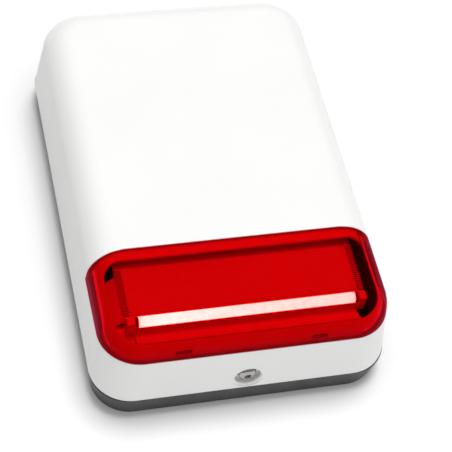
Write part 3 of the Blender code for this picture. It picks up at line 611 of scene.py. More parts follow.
class Workshop:
    """Makes shapes into pieces: joins and cuts them, dresses them and fixes them to a body."""

    SHARP = math.radians(36)

    def __init__(self, palette: Palette) -> None:
        """Keeps the palette and an empty list of the pieces made."""
        self.palette = palette
        self.made: list[str] = []

    def carve(self, shape: Shape, steps: Sequence[Step]) -> Shape:
        """Joins other shapes to a shape or cuts them from it.

        Args:
            shape: the closed shape to start from.
            steps: ("UNION" or "DIFFERENCE", closed shape) pairs, done in order.

        Returns:
            The carved shape.
        """
        target = self._loose("target", shape)
        others = []
        for index, (operation, other) in enumerate(steps):
            obj = self._loose(f"tool_{index}", other)
            others.append(obj)
            modifier = target.modifiers.new(f"step {index}", "BOOLEAN")
            modifier.operation = operation
            modifier.solver = "EXACT"
            modifier.object = obj
        carved = bmesh.new()
        graph = bpy.context.evaluated_depsgraph_get()
        mesh = bpy.data.meshes.new_from_object(target.evaluated_get(graph))
        carved.from_mesh(mesh)
        bpy.data.meshes.remove(mesh)
        for obj in [target, *others]:
            mesh = obj.data
            bpy.data.objects.remove(obj, do_unlink=True)
            bpy.data.meshes.remove(mesh)
        return carved

    def _loose(self, name: str, shape: Shape) -> bpy.types.Object:
        """Returns a scratch object that holds the shape, which is freed."""
        mesh = bpy.data.meshes.new(name)
        bmesh.ops.recalc_face_normals(shape, faces=shape.faces)
        shape.to_mesh(mesh)
        shape.free()
        obj = bpy.data.objects.new(name, mesh)
        bpy.context.scene.collection.objects.link(obj)
        return obj

    def piece(
        self, name: str, shape: Shape, slot: str, body: Body, replaces: Sequence[str] = ()
    ) -> bpy.types.Object:
        """Makes a shape into a finished piece.

        Args:
            name: the piece's name.
            shape: its closed shape, which is freed.
            slot: the finish it is given.
            body: the body it rides on.
            replaces: the CAD nodes that it stands for.

        Returns:
            The new object.
        """
        obj = self._loose(name, shape)
        mesh = obj.data
        mesh.name = name
        mesh.materials.append(self.palette[slot])
        mesh.shade_smooth()
        mesh.set_sharp_from_angle(angle=self.SHARP)
        weigh = obj.modifiers.new("even shading", "WEIGHTED_NORMAL")
        weigh.keep_sharp = True
        weigh.weight = 80
        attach(obj, body.value)
        if replaces:
            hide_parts(*replaces)
        self.made.append(name)
        LOG.info("%s: %d faces, rides on %s", name, len(mesh.polygons), body.value)
        return obj

    def softened(
        self, node: str, slot: str, body: Body, width: float = 0.25 * MM, name: str = ""
    ) -> bpy.types.Object:
        """Makes a copy of a CAD node with rounded edges, which stands for it.

        Args:
            node: the CAD node.
            slot: the finish it is given.
            body: the body it rides on.
            width: how far each edge is rounded.
            name: the piece's name, or the node's with _moulding after it.

        Returns:
            The new object.
        """
        shape = bmesh.new()
        shape.from_mesh(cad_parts[node].data)
        bmesh.ops.remove_doubles(shape, verts=shape.verts, dist=0.002 * MM)
        bmesh.ops.dissolve_limit(shape, angle_limit=math.radians(1), verts=shape.verts, edges=shape.edges)
        sharp = [
            edge
            for edge in shape.edges
            if len(edge.link_faces) == 2
            and edge.calc_face_angle(0) > self.SHARP
        ]
        round_edges(shape, sharp, width, clamp=True)
        return self.piece(name or f"{node}_moulding", shape, slot, body, [node])

    def dress(self, node: str, slot: str) -> None:
        """Gives a CAD node that is shown as it is the finish of a slot."""
        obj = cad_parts[node]
        obj.data.materials.clear()
        obj.data.materials.append(self.palette[slot])
        LOG.info("%s: CAD node in %s", node, slot)


# Housing


class Side(Enum):
    """Where a station is on the housing's outline."""

    CORNER = 0
    RIGHT = 1
    UPPER = 2
    LEFT = 3
    LOWER = 4


@dataclass(frozen=True)
class Station:
    """One place along the housing's outline, at any height."""

    side: Side
    turn: float = 0.0
    along: float = 0.0
    at_seat: bool = False

    def point(self, half_x: float, half_y: float, radius: float) -> tuple[float, float]:
        """Returns the station's place on a rounded rectangle of that size."""
        if self.side is Side.CORNER:
            quarter = math.floor(self.turn / 90) + 1
            sign_x, sign_y = ((1, -1), (1, 1), (-1, 1), (-1, -1))[quarter]
            angle = math.radians(self.turn)
            x = sign_x * (half_x - radius) + radius * math.cos(angle)
            return x, sign_y * (half_y - radius) + radius * math.sin(angle)
        if self.side in (Side.RIGHT, Side.LEFT):
            return math.copysign(half_x, 1 if self.side is Side.RIGHT else -1), self.along
        return self.along, math.copysign(half_y, 1 if self.side is Side.UPPER else -1)


@dataclass
class Skin:
    """A surface as points with outward directions, and faces that belong to the lens or to the cover."""

    points: list[Vector] = field(default_factory=list)
    outward: list[Vector] = field(default_factory=list)
    deep: list[bool] = field(default_factory=list)
    faces: list[tuple[tuple[int, ...], bool]] = field(default_factory=list)

    def add(self, point: Point, deep: bool) -> int:
        """Adds a point and returns its number; deep ones have the lens or its flange behind them."""
        self.points.append(Vector(point))
        self.deep.append(deep)
        return len(self.points) - 1

    def find_outward(self) -> None:
        """Works out each point's outward direction from the faces round it."""
        shape = bmesh.new()
        verts = [shape.verts.new(point) for point in self.points]
        for corners, _ in self.faces:
            shape.faces.new([verts[i] for i in corners])
        shape.normal_update()
        self.outward = [vert.normal.copy() for vert in verts]
        shape.free()

    def edges(self, of_lens: bool) -> dict[frozenset[int], tuple[int, int]]:
        """Returns the edges of the lens's or the cover's faces, each in its face's direction."""
        found: dict[frozenset[int], tuple[int, int]] = {}
        for corners, lens in self.faces:
            if lens is of_lens:
                for pair in zip(corners, corners[1:] + corners[:1]):
                    found[frozenset(pair)] = pair
        return found

    def rim(self, of_lens: bool) -> dict[frozenset[int], tuple[int, int]]:
        """Returns the edges that only one of the lens's or the cover's faces has."""
        count: dict[frozenset[int], int] = {}
        for corners, lens in self.faces:
            if lens is of_lens:
                for pair in zip(corners, corners[1:] + corners[:1]):
                    count[frozenset(pair)] = count.get(frozenset(pair), 0) + 1
        return {key: pair for key, pair in self.edges(of_lens).items() if count[key] == 1}


@dataclass
class HousingForm:
    """The siren's outer form over the parting plane, with the line where the lens meets the cover."""

    width: float = 200 * MM
    length: float = 297 * MM
    depth: float = 80 * MM
    parting: float = 19.5 * MM
    lean: float = 0.106
    corner: float = 27 * MM
    setback: float = 17.8 * MM
    seat_y: float = -74.6 * MM
    seat_bends: tuple[tuple[float, float], ...] = ((94 * MM, 0.0), (82 * MM, 2.0 * MM), (72 * MM, 3.4 * MM))
    low_edge: float = 55.2 * MM
    low_slope: float = 0.03
    lip: float = 1.2 * MM
    overlap: float = 4.0 * MM
    corner_steps: int = 18
    setback_steps: int = 14

    def __post_init__(self) -> None:
        """Works out the rim, where wall and front would meet, and the arc that rounds it."""
        reach = self.lean * (self.depth - self.parting)
        self.rim_x = self.width / 2 - reach
        self.rim_y = self.length / 2 - reach
        self.tilt = math.atan(self.lean)
        self.arc_radius = self.setback * math.tan((math.pi / 2 + self.tilt) / 2)
        self.wall_top = self.depth - self.setback * math.cos(self.tilt)

    def seat_rise(self, x: float) -> float:
        """Returns how far the lens's upper edge is above seat_y at that distance from the middle."""
        bends = self.seat_bends
        if abs(x) >= bends[0][0]:
            return bends[0][1]
        for (far_x, far_rise), (near_x, near_rise) in zip(bends, bends[1:]):
            if abs(x) >= near_x:
                return far_rise + (near_rise - far_rise) * (far_x - abs(x)) / (far_x - near_x)
        return bends[-1][1]

    def low_edge_at(self, y: float) -> float:
        """Returns the height of the lens's lower edge on the wall."""
        return self.low_edge + self.low_slope * max(0.0, self.seat_y - y)

    def stations(self) -> list[Station]:
        """Returns the places round the outline, from the middle of the lower end anticlockwise."""
        seat = [self.seat_y + step for step in (-self.lip, 0.0, self.lip, self.overlap)]
        plain = [y * MM for y in (-112, -104, -96, -88, -81)]
        higher = [y * MM for y in (-62, -48, -32, -16, 0, 16, 32, 48, 64, 80, 96, 112)]
        right = [Station(Side.RIGHT, along=y) for y in plain]
        right += [Station(Side.RIGHT, along=y, at_seat=True) for y in seat]
        right += [Station(Side.RIGHT, along=y) for y in higher]
        left = [Station(Side.LEFT, along=s.along, at_seat=s.at_seat) for s in reversed(right)]
        across = [x * MM for x in (-60, -45, -30, -15, 0, 15, 30, 45, 60)]
        quarter = [90 * i / self.corner_steps for i in range(self.corner_steps + 1)]
        corners = [
            [Station(Side.CORNER, turn=start + turn) for turn in quarter] for start in (-90, 0, 90, 180)
        ]
        corners = [[Station(Side.CORNER, turn=min(max(s.turn, start + 0.001), start + 89.999)) for s in row]
                   for start, row in zip((-90, 0, 90, 180), corners)]
        upper = [Station(Side.UPPER, along=-x) for x in across]
        lower = [Station(Side.LOWER, along=x) for x in across]
        return corners[0] + right + corners[1] + upper + corners[2] + left + corners[3] + lower

    def place(self, station: Station, inward: float, z: float) -> Vector:
        """Returns a station's point on the form.

        Args:
            station: the place round the outline.
            inward: how far inside the rim's outline the point is; negative on the leaning wall.
            z: its height.

        Returns:
            The point.
        """
        radius = self.corner - max(inward, 0.0)
        x, y = station.point(self.rim_x - inward, self.rim_y - inward, radius)
        if station.at_seat:
            y += self.seat_rise(x)
        return Vector((x, y, z))

    def on_wall(self, station: Station, z: float) -> Vector:
        """Returns a station's point on the wall at a height."""
        return self.place(station, -self.lean * (self.depth - z), z)

    def rows(self, station: Station) -> list[Vector]:
        """Returns a station's points from the parting plane up to the flat front."""
        low = self.low_edge_at(self.on_wall(station, self.low_edge).y)
        heights = [self.parting, self.parting + self.lip, 27 * MM, 35 * MM, 43 * MM]
        heights += [low - self.overlap, low - self.lip, low, low + self.lip]
        wall = [self.on_wall(station, z) for z in heights]
        centre_in, centre_z = self.setback, self.depth - self.arc_radius
        first, last = math.pi - self.tilt, math.pi / 2
        for step in range(self.setback_steps + 1):
            angle = first + (last - first) * step / self.setback_steps
            inward = centre_in + self.arc_radius * math.cos(angle)
            wall.append(self.place(station, inward, centre_z + self.arc_radius * math.sin(angle)))
        return wall

    def skin(self) -> Skin:
        """Returns the whole outer surface, its faces marked as the cover's or the lens's."""
        stations = self.stations()
        seats = [i for i, s in enumerate(stations) if s.at_seat and abs(s.along - self.seat_y) < 1e-9]
        right, left = seats
        low_row = 7
        skin = Skin()
        count = len(stations)
        grid = []
        for column, station in enumerate(stations):
            inside = column <= right + 1 or column >= left - 1
            rows = self.rows(station)
            grid.append([skin.add(point, inside and row >= low_row - 1) for row, point in enumerate(rows)])
        top = len(grid[0]) - 1
        for column in range(count):
            after = (column + 1) % count
            lens_side = column < right or column >= left
            for row in range(top):
                corners = (grid[column][row], grid[after][row], grid[after][row + 1], grid[column][row + 1])
                skin.faces.append((corners, lens_side and row >= low_row))
        lines = []
        for step, offset in ((-1, -self.lip), (0, 0.0), (1, self.lip), (2, self.overlap)):
            bend_x, rise = self.seat_bends[-1]
            ends = grid[right + step][top], grid[left - step][top]
            inner = [
                skin.add((x, self.seat_y + rise + offset, self.depth), step < 2)
                for x in (bend_x, 0.0, -bend_x)
            ]
            lines.append([ends[0], *inner, ends[1]])
        for lower, upper, lens in zip(lines, lines[1:], (True, False, False)):
            for a, b, c, d in zip(lower, lower[1:], upper[1:], upper):
                skin.faces.append(((a, d, c, b), lens))
        face_top = [grid[column][top] for column in range(right + 3, left - 2)]
        skin.faces.append((tuple(lines[-1][:1] + face_top + lines[-1][:0:-1]), False))
        round_low = list(range(left + 2, count)) + list(range(right - 1))
        face_low = [grid[column][top] for column in round_low]
        skin.faces.append((tuple(lines[0][-1:] + face_low + lines[0][:-1]), True))
        skin.find_outward()
        return skin


@dataclass
class CoverShell:
    """The white cover: a drafted shell with a sunk seat and window for the lens, hooks and ribs."""

    form: HousingForm
    wall: float = 3 * MM
    seat_depth: float = 2.7 * MM
    flange: float = 2 * MM
    lip_radius: float = 0.4 * MM
    window_half: float = 87 * MM
    window_y: tuple[float, float] = (-138 * MM, -78 * MM)
    screw_z: float = 30.3 * MM
    recess_radius: float = 8.6 * MM
    recess_floor: float = -142.6 * MM
    boss_end: float = -140.4 * MM
    hook_x: float = 55 * MM
    hook_half: float = 8 * MM
    post_place: tuple[float, float] = (70 * MM, 15 * MM)

    def shell(self) -> Shape:
        """Returns the plain shell: outer skin, sunk seat, inner skin and the rim that joins them."""
        skin = self.form.skin()
        shape = bmesh.new()
        lens_points = {i for corners, lens in skin.faces if lens for i in corners}
        cover_points = {i for corners, lens in skin.faces if not lens for i in corners}
        behind = self.seat_depth + self.flange
        outer = {i: shape.verts.new(skin.points[i]) for i in cover_points}
        seat = {i: shape.verts.new(skin.points[i] - skin.outward[i] * self.seat_depth) for i in lens_points}
        inner = {}
        for i, point in enumerate(skin.points):
            inner[i] = shape.verts.new(point - skin.outward[i] * (behind if skin.deep[i] else self.wall))
        for corners, lens in skin.faces:
            shape.faces.new([(seat if lens else outer)[i] for i in corners])
            shape.faces.new([inner[i] for i in reversed(corners)])
        soft = []
        for a, b in skin.rim(of_lens=True).values():
            shape.faces.new((seat[b], seat[a], outer[a], outer[b]))
            soft.append((a, b))
        parting = self.form.parting + 1e-6
        for a, b in skin.rim(of_lens=False).values():
            if skin.points[a].z < parting and skin.points[b].z < parting:
                inner[a].co.z = inner[b].co.z = self.form.parting
                shape.faces.new((outer[b], outer[a], inner[a], inner[b]))
                soft.append((a, b))
        bmesh.ops.recalc_face_normals(shape, faces=shape.faces)
        round_edges(shape, [shape.edges.get((outer[a], outer[b])) for a, b in soft], self.lip_radius, 3)
        return shape

    def hook(self, x: float) -> Shape:
        """Returns one hinge hook: a web on the end wall with a claw about the hinge line."""
        centre = (self.form.length / 2, self.form.parting)
        outer = arc(centre, 9.4 * MM, 180, 230, 10)
        inner = arc(centre, 6.9 * MM, 230, 180, 10)
        web_y = centre[0] - 2.2 * MM
        web = [(web_y, centre[1] + 7 * MM), (centre[0] - 9.4 * MM, centre[1] + 2.5 * MM)]
        return prism(
            [*web, *outer, *inner, (web_y, centre[1] + GAP)], x - self.hook_half, x + self.hook_half, Axis.X
        )

    def recess(self) -> Shape:
        """Returns the cutter for the dished screw recess, whose rim rolls into the wall."""
        wall_y = -(self.form.length / 2 - self.form.lean * (self.screw_z - self.form.parting))
        deep = self.recess_floor - wall_y
        roll = 1.5 * MM
        rim = [
            (self.recess_radius + roll * (1 - math.cos(t)), roll * (1 - math.sin(t))) for t in sweep(90, 6)
        ]
        profile = [(0, deep), (self.recess_radius - 0.5 * MM, deep), (self.recess_radius, deep - 0.5 * MM)]
        profile += [(radius, height) for radius, height in rim if height < deep - 0.6 * MM]
        edge = profile[-1][0] + 0.25 * MM
        return lathe(
            [*profile, (edge, -0.3 * MM), (edge, -6 * MM), (0, -6 * MM)],
            (0, wall_y, self.screw_z),
            Axis.Y,
            64,
        )

    def fittings(self) -> list[Step]:
        """Returns everything that is cut from the shell or moulded on it, in order."""
        low_y, high_y = self.window_y
        window = rounded_rectangle(
            (-self.window_half, low_y), (self.window_half, high_y), (20 * MM, 20 * MM, 11 * MM, 11 * MM), 14
        )
        steps = [cut(prism(window, 50 * MM, 100 * MM))]
        for side in (-1, 1):
            x = side * 44.5 * MM
            slot = block((x - 5.3 * MM, -143.5 * MM, 59.4 * MM), (x + 5.3 * MM, -136 * MM, 63 * MM))
            steps.append(cut(slot))
        boss_start, boss_radius = -145.7 * MM, 10.5 * MM
        boss_length = self.boss_end - boss_start
        boss = lathe(
            [(0, 0), (boss_radius, 0), (boss_radius, boss_length), (0, boss_length)],
            (0, boss_start, self.screw_z), Axis.Y, 56,
        )
        hole = drum((0, -150 * MM, self.screw_z), 3.3 * MM, 12 * MM, Axis.Y)
        steps += [join(boss), cut(self.recess()), cut(hole)]
        for side in (-1, 1):
            steps.append(join(self.hook(side * self.hook_x)))
            x = side * 60 * MM
            steps.append(join(drum((x, -72.4 * MM, 69.4 * MM), 3 * MM, 6.6 * MM, steps=32)))
            steps.append(cut(drum((x, -72.4 * MM, 68.4 * MM), M3_HOLE, 6.4 * MM, steps=24)))
            steps.append(join(slab((x - 5 * MM, -139.8 * MM, 63.5 * MM), (10, 4.2, 2.3))))
        post_x, post_y = self.post_place
        post = lathe(in_mm((0, 0), (3, 0), (5, 48.7), (0, 48.7)), (post_x, post_y, 29.3 * MM), steps=32)
        steps.append(join(post))
        steps += [join(rib) for rib in self.ribs()]
        return steps

    def ribs(self) -> list[Shape]:
        """Returns the ribs behind the front and on the upper end wall, and the tamper post's web."""
        behind, front = 71.5 * MM, self.form.depth - 2 * MM
        shapes = [
            block((x - 0.8 * MM, -58 * MM, behind), (x + 0.8 * MM, 122 * MM, front))
            for x in (-50 * MM, 0.0, 50 * MM)
        ]
        shapes += [
            block((-74 * MM, y - 0.8 * MM, behind), (74 * MM, y + 0.8 * MM, front))
            for y in (-20 * MM, 55 * MM)
        ]
        post_x, post_y = self.post_place
        shapes.append(
            block(
                (post_x - 0.9 * MM, post_y - 11 * MM, 66 * MM), (post_x + 0.9 * MM, post_y + 11 * MM, front)
            )
        )
        return shapes

    def build(self, shop: Workshop) -> None:
        """Makes the cover and the soft seal behind the lock screw's head."""
        shop.piece(
            "cover_shell", shop.carve(self.shell(), self.fittings()), "white_shell", Body.COVER, ["cover"]
        )
        ring = in_mm((3.35, 0.1), (3.35, 0.8), (3.6, 0.9), (5.9, 0.9))
        ring += in_mm((6.2, 0.6), (6.2, 0.3), (5.9, 0), (3.6, 0))
        seal = lathe(ring, (0, -143.8 * MM, self.screw_z), Axis.Y)
        shop.piece("lock_seal", seal, "black_rubber", Body.COVER, ["screw_seal"])


@dataclass
class LensPanel:
    """The flush red lens: it follows the cover's form and snaps in by two hooks."""

    form: HousingForm
    wall: float = 2.4 * MM
    edge_radius: float = 0.35 * MM
    hook_x: float = 44.5 * MM
    hook_half: float = 5 * MM

    def panel(self) -> Shape:
        """Returns the lens, a gap inside its seat all round."""
        skin = self.form.skin()
        rim = skin.rim(of_lens=True)
        on_rim = {i for key in rim for i in key}
        shift: dict[int, Vector] = {}
        for key in skin.edges(of_lens=True):
            ends = sorted(key, key=lambda i: i in on_rim)
            if ends[1] in on_rim and ends[0] not in on_rim:
                shift[ends[1]] = (skin.points[ends[0]] - skin.points[ends[1]]).normalized() * GAP
        for i in on_rim - set(shift):
            beside = [next(iter(key - {i})) for key in rim if i in key]
            shift[i] = sum((shift[j] for j in beside), Vector())
        shape = bmesh.new()
        used = {i for corners, lens in skin.faces if lens for i in corners}
        outer, inner = {}, {}
        for i in used:
            point = skin.points[i] + shift.get(i, Vector())
            outer[i] = shape.verts.new(point)
            inner[i] = shape.verts.new(point - skin.outward[i] * self.wall)
        for corners, lens in skin.faces:
            if lens:
                shape.faces.new([outer[i] for i in corners])
                shape.faces.new([inner[i] for i in reversed(corners)])
        for a, b in rim.values():
            shape.faces.new((outer[b], outer[a], inner[a], inner[b]))
        bmesh.ops.recalc_face_normals(shape, faces=shape.faces)
        round_edges(
            shape, [shape.edges.get((outer[a], outer[b])) for a, b in rim.values()], self.edge_radius, 3
        )
        return shape

    def build(self, shop: Workshop) -> None:
        """Makes the lens with its snap hooks."""
        outline = [
            (-142.6, 59.7), (-138.7, 59.7), (-138.1, 60.6), (-138.1, 61.6), (-139.3, 62.7), (-142.6, 62.7)
        ]
        points = [(y * MM, z * MM) for y, z in outline]
        hooks = [
            prism(points, side * self.hook_x - self.hook_half, side * self.hook_x + self.hook_half, Axis.X)
            for side in (-1, 1)
        ]
        lens = shop.carve(self.panel(), [join(hook) for hook in hooks])
        shop.piece("warning_lens", lens, "red_lens", Body.COVER, ["lens"])


@dataclass
class BaseTray:
    """The charcoal base: a shallow tray that widens to the cover, with a sound duct across its back."""

    half_x: float = 97.2 * MM
    half_y: float = 145.7 * MM
    widen: float = 2.7 * MM
    top: float = 19.2 * MM
    wall: float = 2.6 * MM
    floor: float = 3 * MM
    corner: float = 25 * MM
    chamfer: float = 0.7 * MM
    horn_y: float = -26 * MM
    duct_half: float = 23 * MM
    duct_depth: float = 5 * MM
    duct_floor: float = 8 * MM
    hook_x: float = 55 * MM

    def ring(self, shape: Shape, inset: float, z: float) -> list[bmesh.types.BMVert]:
        """Adds one outline of the tray at a height, moved in by inset."""
        spread = self.widen * z / self.top - inset
        low = (-self.half_x - spread, -self.half_y - spread)
        high = (self.half_x + spread, self.half_y + spread)
        outline = rounded_rectangle(low, high, [self.corner - inset] * 4, 18)
        return [shape.verts.new((x, y, z)) for x, y in outline]

    def tray(self) -> Shape:
        """Returns the plain tray with softened rims."""
        shape = bmesh.new()
        soft = self.chamfer
        sections = [
            (1.6 * soft, 0.0), (0.5 * soft, 0.3 * soft), (0.0, 1.4 * soft), (0.0, self.top - 1.2 * soft)
        ]
        sections += [
            (0.12 * soft, self.top - 0.5 * soft),
            (0.35 * soft, self.top - 0.18 * soft),
            (0.8 * soft, self.top),
        ]
        sections += [(self.wall, self.top), (self.wall, self.floor + MM), (self.wall + MM, self.floor)]
        rings = [self.ring(shape, inset, z) for inset, z in sections]
        for lower, upper in zip(rings, rings[1:]):
            for i in range(len(lower)):
                j = (i + 1) % len(lower)
                shape.faces.new((lower[i], lower[j], upper[j], upper[i]))
        shape.faces.new(rings[0])
        shape.faces.new(rings[-1])
        bmesh.ops.recalc_face_normals(shape, faces=shape.faces)
        return shape

    def bosses(self) -> list[tuple[float, float, float, float]]:
        """Returns (x, y, top, hole depth) for each screw boss."""
        corners = [(side * 66 * MM, y * MM, 9 * MM, 5 * MM) for y in (36, 112) for side in (-1, 1)]
        horn = [(0.0, self.horn_y + reach, self.duct_floor, 5 * MM) for reach in (-40 * MM, 40 * MM)]
        return corners + horn + [(side * 58 * MM, -97 * MM, 7 * MM, 5 * MM) for side in (-1, 1)]

    def steps(self) -> list[Step]:
        """Returns everything that is cut from the tray or moulded on it, in order."""
        low, high = self.horn_y - self.duct_half, self.horn_y + self.duct_half
        inner_x = 95.5 * MM
        duct_floor = block(
            (-inner_x, low - self.floor, 2 * MM), (inner_x, high + self.floor, self.duct_floor)
        )
        duct = block((-0.2, low, -MM), (0.2, high, self.duct_depth))
        steps = [join(duct_floor), *(join(rib) for rib in self.floor_ribs()), cut(duct)]
        slots = []
        for i in range(-3, 4):
            x = i * 7 * MM
            outline = rounded_rectangle(
                (x - 1.7 * MM, self.horn_y - 17 * MM),
                (x + 1.7 * MM, self.horn_y + 17 * MM),
                [1.6 * MM] * 4,
                5,
            )
            slots.append(prism(outline, 4 * MM, 9 * MM))
        steps.append(cut(merged(*slots)))
        for x, y, top, depth in self.bosses():
            gusset = 7 * MM if top > 7.5 * MM else 0.0
            post = lathe(
                [(0, 0), (5 * MM, 0), (4 * MM, 2.2 * MM), (4 * MM, top - 2 * MM), (0, top - 2 * MM)],
                (x, y, 2 * MM),
                steps=36,
            )
            steps.append(join(post))
            if gusset and abs(y) > 30 * MM:
                rib = 0.7 * MM
                web = block((x - gusset, y - rib, 2.2 * MM), (x + gusset, y + rib, top - 2.3 * MM))
                steps.append(join(web))
            steps.append(cut(drum((x, y, top - depth), M3_HOLE, depth + MM, steps=24)))
        pad = block((-12 * MM, -139.5 * MM, 2 * MM), (12 * MM, -127 * MM, 7 * MM))
        steps += [join(pad), cut(drum((0, -131 * MM, 2 * MM), M3_HOLE, 6 * MM, steps=24))]
        for side_x, side_y in ((-1, -1), (1, -1), (1, 1), (-1, 1)):
            x, y = side_x * 84 * MM, side_y * 132 * MM
            reach = 2 * MM if side_y < 0 else 0.0
            for grow, start, stop, kind in (
                (2.4 * MM, 2 * MM, 4.6 * MM, "UNION"), (0.0, -MM, 6 * MM, "DIFFERENCE")
            ):
                radius = 3 * MM + grow
                outline = rounded_rectangle(
                    (x - reach - radius, y - radius),
                    (x + reach + radius, y + radius),
                    [radius * 0.999] * 4,
                    8,
                )
                steps.append((kind, prism(outline, start, stop)))
        steps.append(join(drum((-70 * MM, 15 * MM, 2 * MM), 11.9 * MM, 1.2 * MM)))
        steps.append(cut(drum((-70 * MM, 15 * MM, -MM), 9 * MM, 8 * MM)))
        steps.append(cut(drum((-70 * MM, 15 * MM, 3 * MM), 11.4 * MM, 8 * MM)))
        steps.append(cut(drum((70 * MM, 15 * MM, -MM), 11.3 * MM, 8 * MM)))
        for side in (-1, 1):
            x = side * self.hook_x
            bar = block((x - 10 * MM, 143 * MM, 16.2 * MM), (x + 10 * MM, 147 * MM, self.top))
            steps.append(join(bar))
        return steps

    def floor_ribs(self) -> list[Shape]:
        """Returns the low ribs that stiffen the floor, clear of the battery, board and entries."""
        rib, rise = 0.7 * MM, 5.4 * MM
        shapes = [
            block((-92 * MM, y - rib, 2 * MM), (92 * MM, y + rib, rise))
            for y in (52 * MM, 74 * MM, 96 * MM, 124 * MM)
        ]
        shapes += [
            block((x - rib, 46 * MM, 2.1 * MM), (x + rib, 140 * MM, rise - 0.4 * MM))
            for x in (-44 * MM, 0.0, 44 * MM)
        ]
        return shapes + [
            block((side * 80 * MM - rib, -112 * MM, 2 * MM), (side * 80 * MM + rib, -56 * MM, 9 * MM))
            for side in (-1, 1)
        ]

    def build(self, shop: Workshop) -> None:
        """Makes the tray."""
        tray = shop.carve(self.tray(), self.steps())
        shop.piece("base_tray", tray, "charcoal_shell", Body.ROOT, ["base"])


# Light


@dataclass
class PanScrew:
    """A pan-head M3 screw with a crossed slot and a threaded shank, where a CAD screw is."""

    node: str
    x: float
    y: float
    seat: float
    length: float
    up: int = 1
    radius: float = 1.5 * MM
    head: float = 2.9 * MM
    rise: float = 1.8 * MM

    def build(self, shop: Workshop, body: Body = Body.ROOT) -> None:
        """Makes the screw."""
        tip = -self.length
        thread = [(self.radius * 0.99, -0.1 * MM)]
        level = -0.5 * MM
        while level > tip + 0.8 * MM:
            thread += [(self.radius * 0.99, level), (self.radius * 0.84, level - 0.25 * MM)]
            level -= 0.5 * MM
        thread += [(self.radius * 0.84, tip + 0.5 * MM), (self.radius * 0.5, tip), (0, tip)]
        dome = [(self.head * math.sin(t), self.rise * (0.45 + 0.55 * math.cos(t))) for t in sweep(90, 6)]
        profile = [*dome, (self.head, 0.12 * MM), (self.head - 0.12 * MM, 0), (self.radius, 0), *thread]
        profile = [(radius, height * self.up) for radius, height in profile]
        shape = lathe(profile, (self.x, self.y, self.seat), steps=28)
        bounds = sorted((self.seat + self.up * 0.95 * MM, self.seat + self.up * 3 * MM))
        half = self.head * 0.72
        slot = block(
            (self.x - half, self.y - 0.35 * MM, bounds[0]), (self.x + half, self.y + 0.35 * MM, bounds[1])
        )
        cross = block(
            (self.x - 0.35 * MM, self.y - half, bounds[0]), (self.x + 0.35 * MM, self.y + half, bounds[1])
        )
        shape = shop.carve(shape, [cut(slot), cut(cross)])
        shop.piece(f"{self.node}_pan", shape, "steel", body, [self.node])


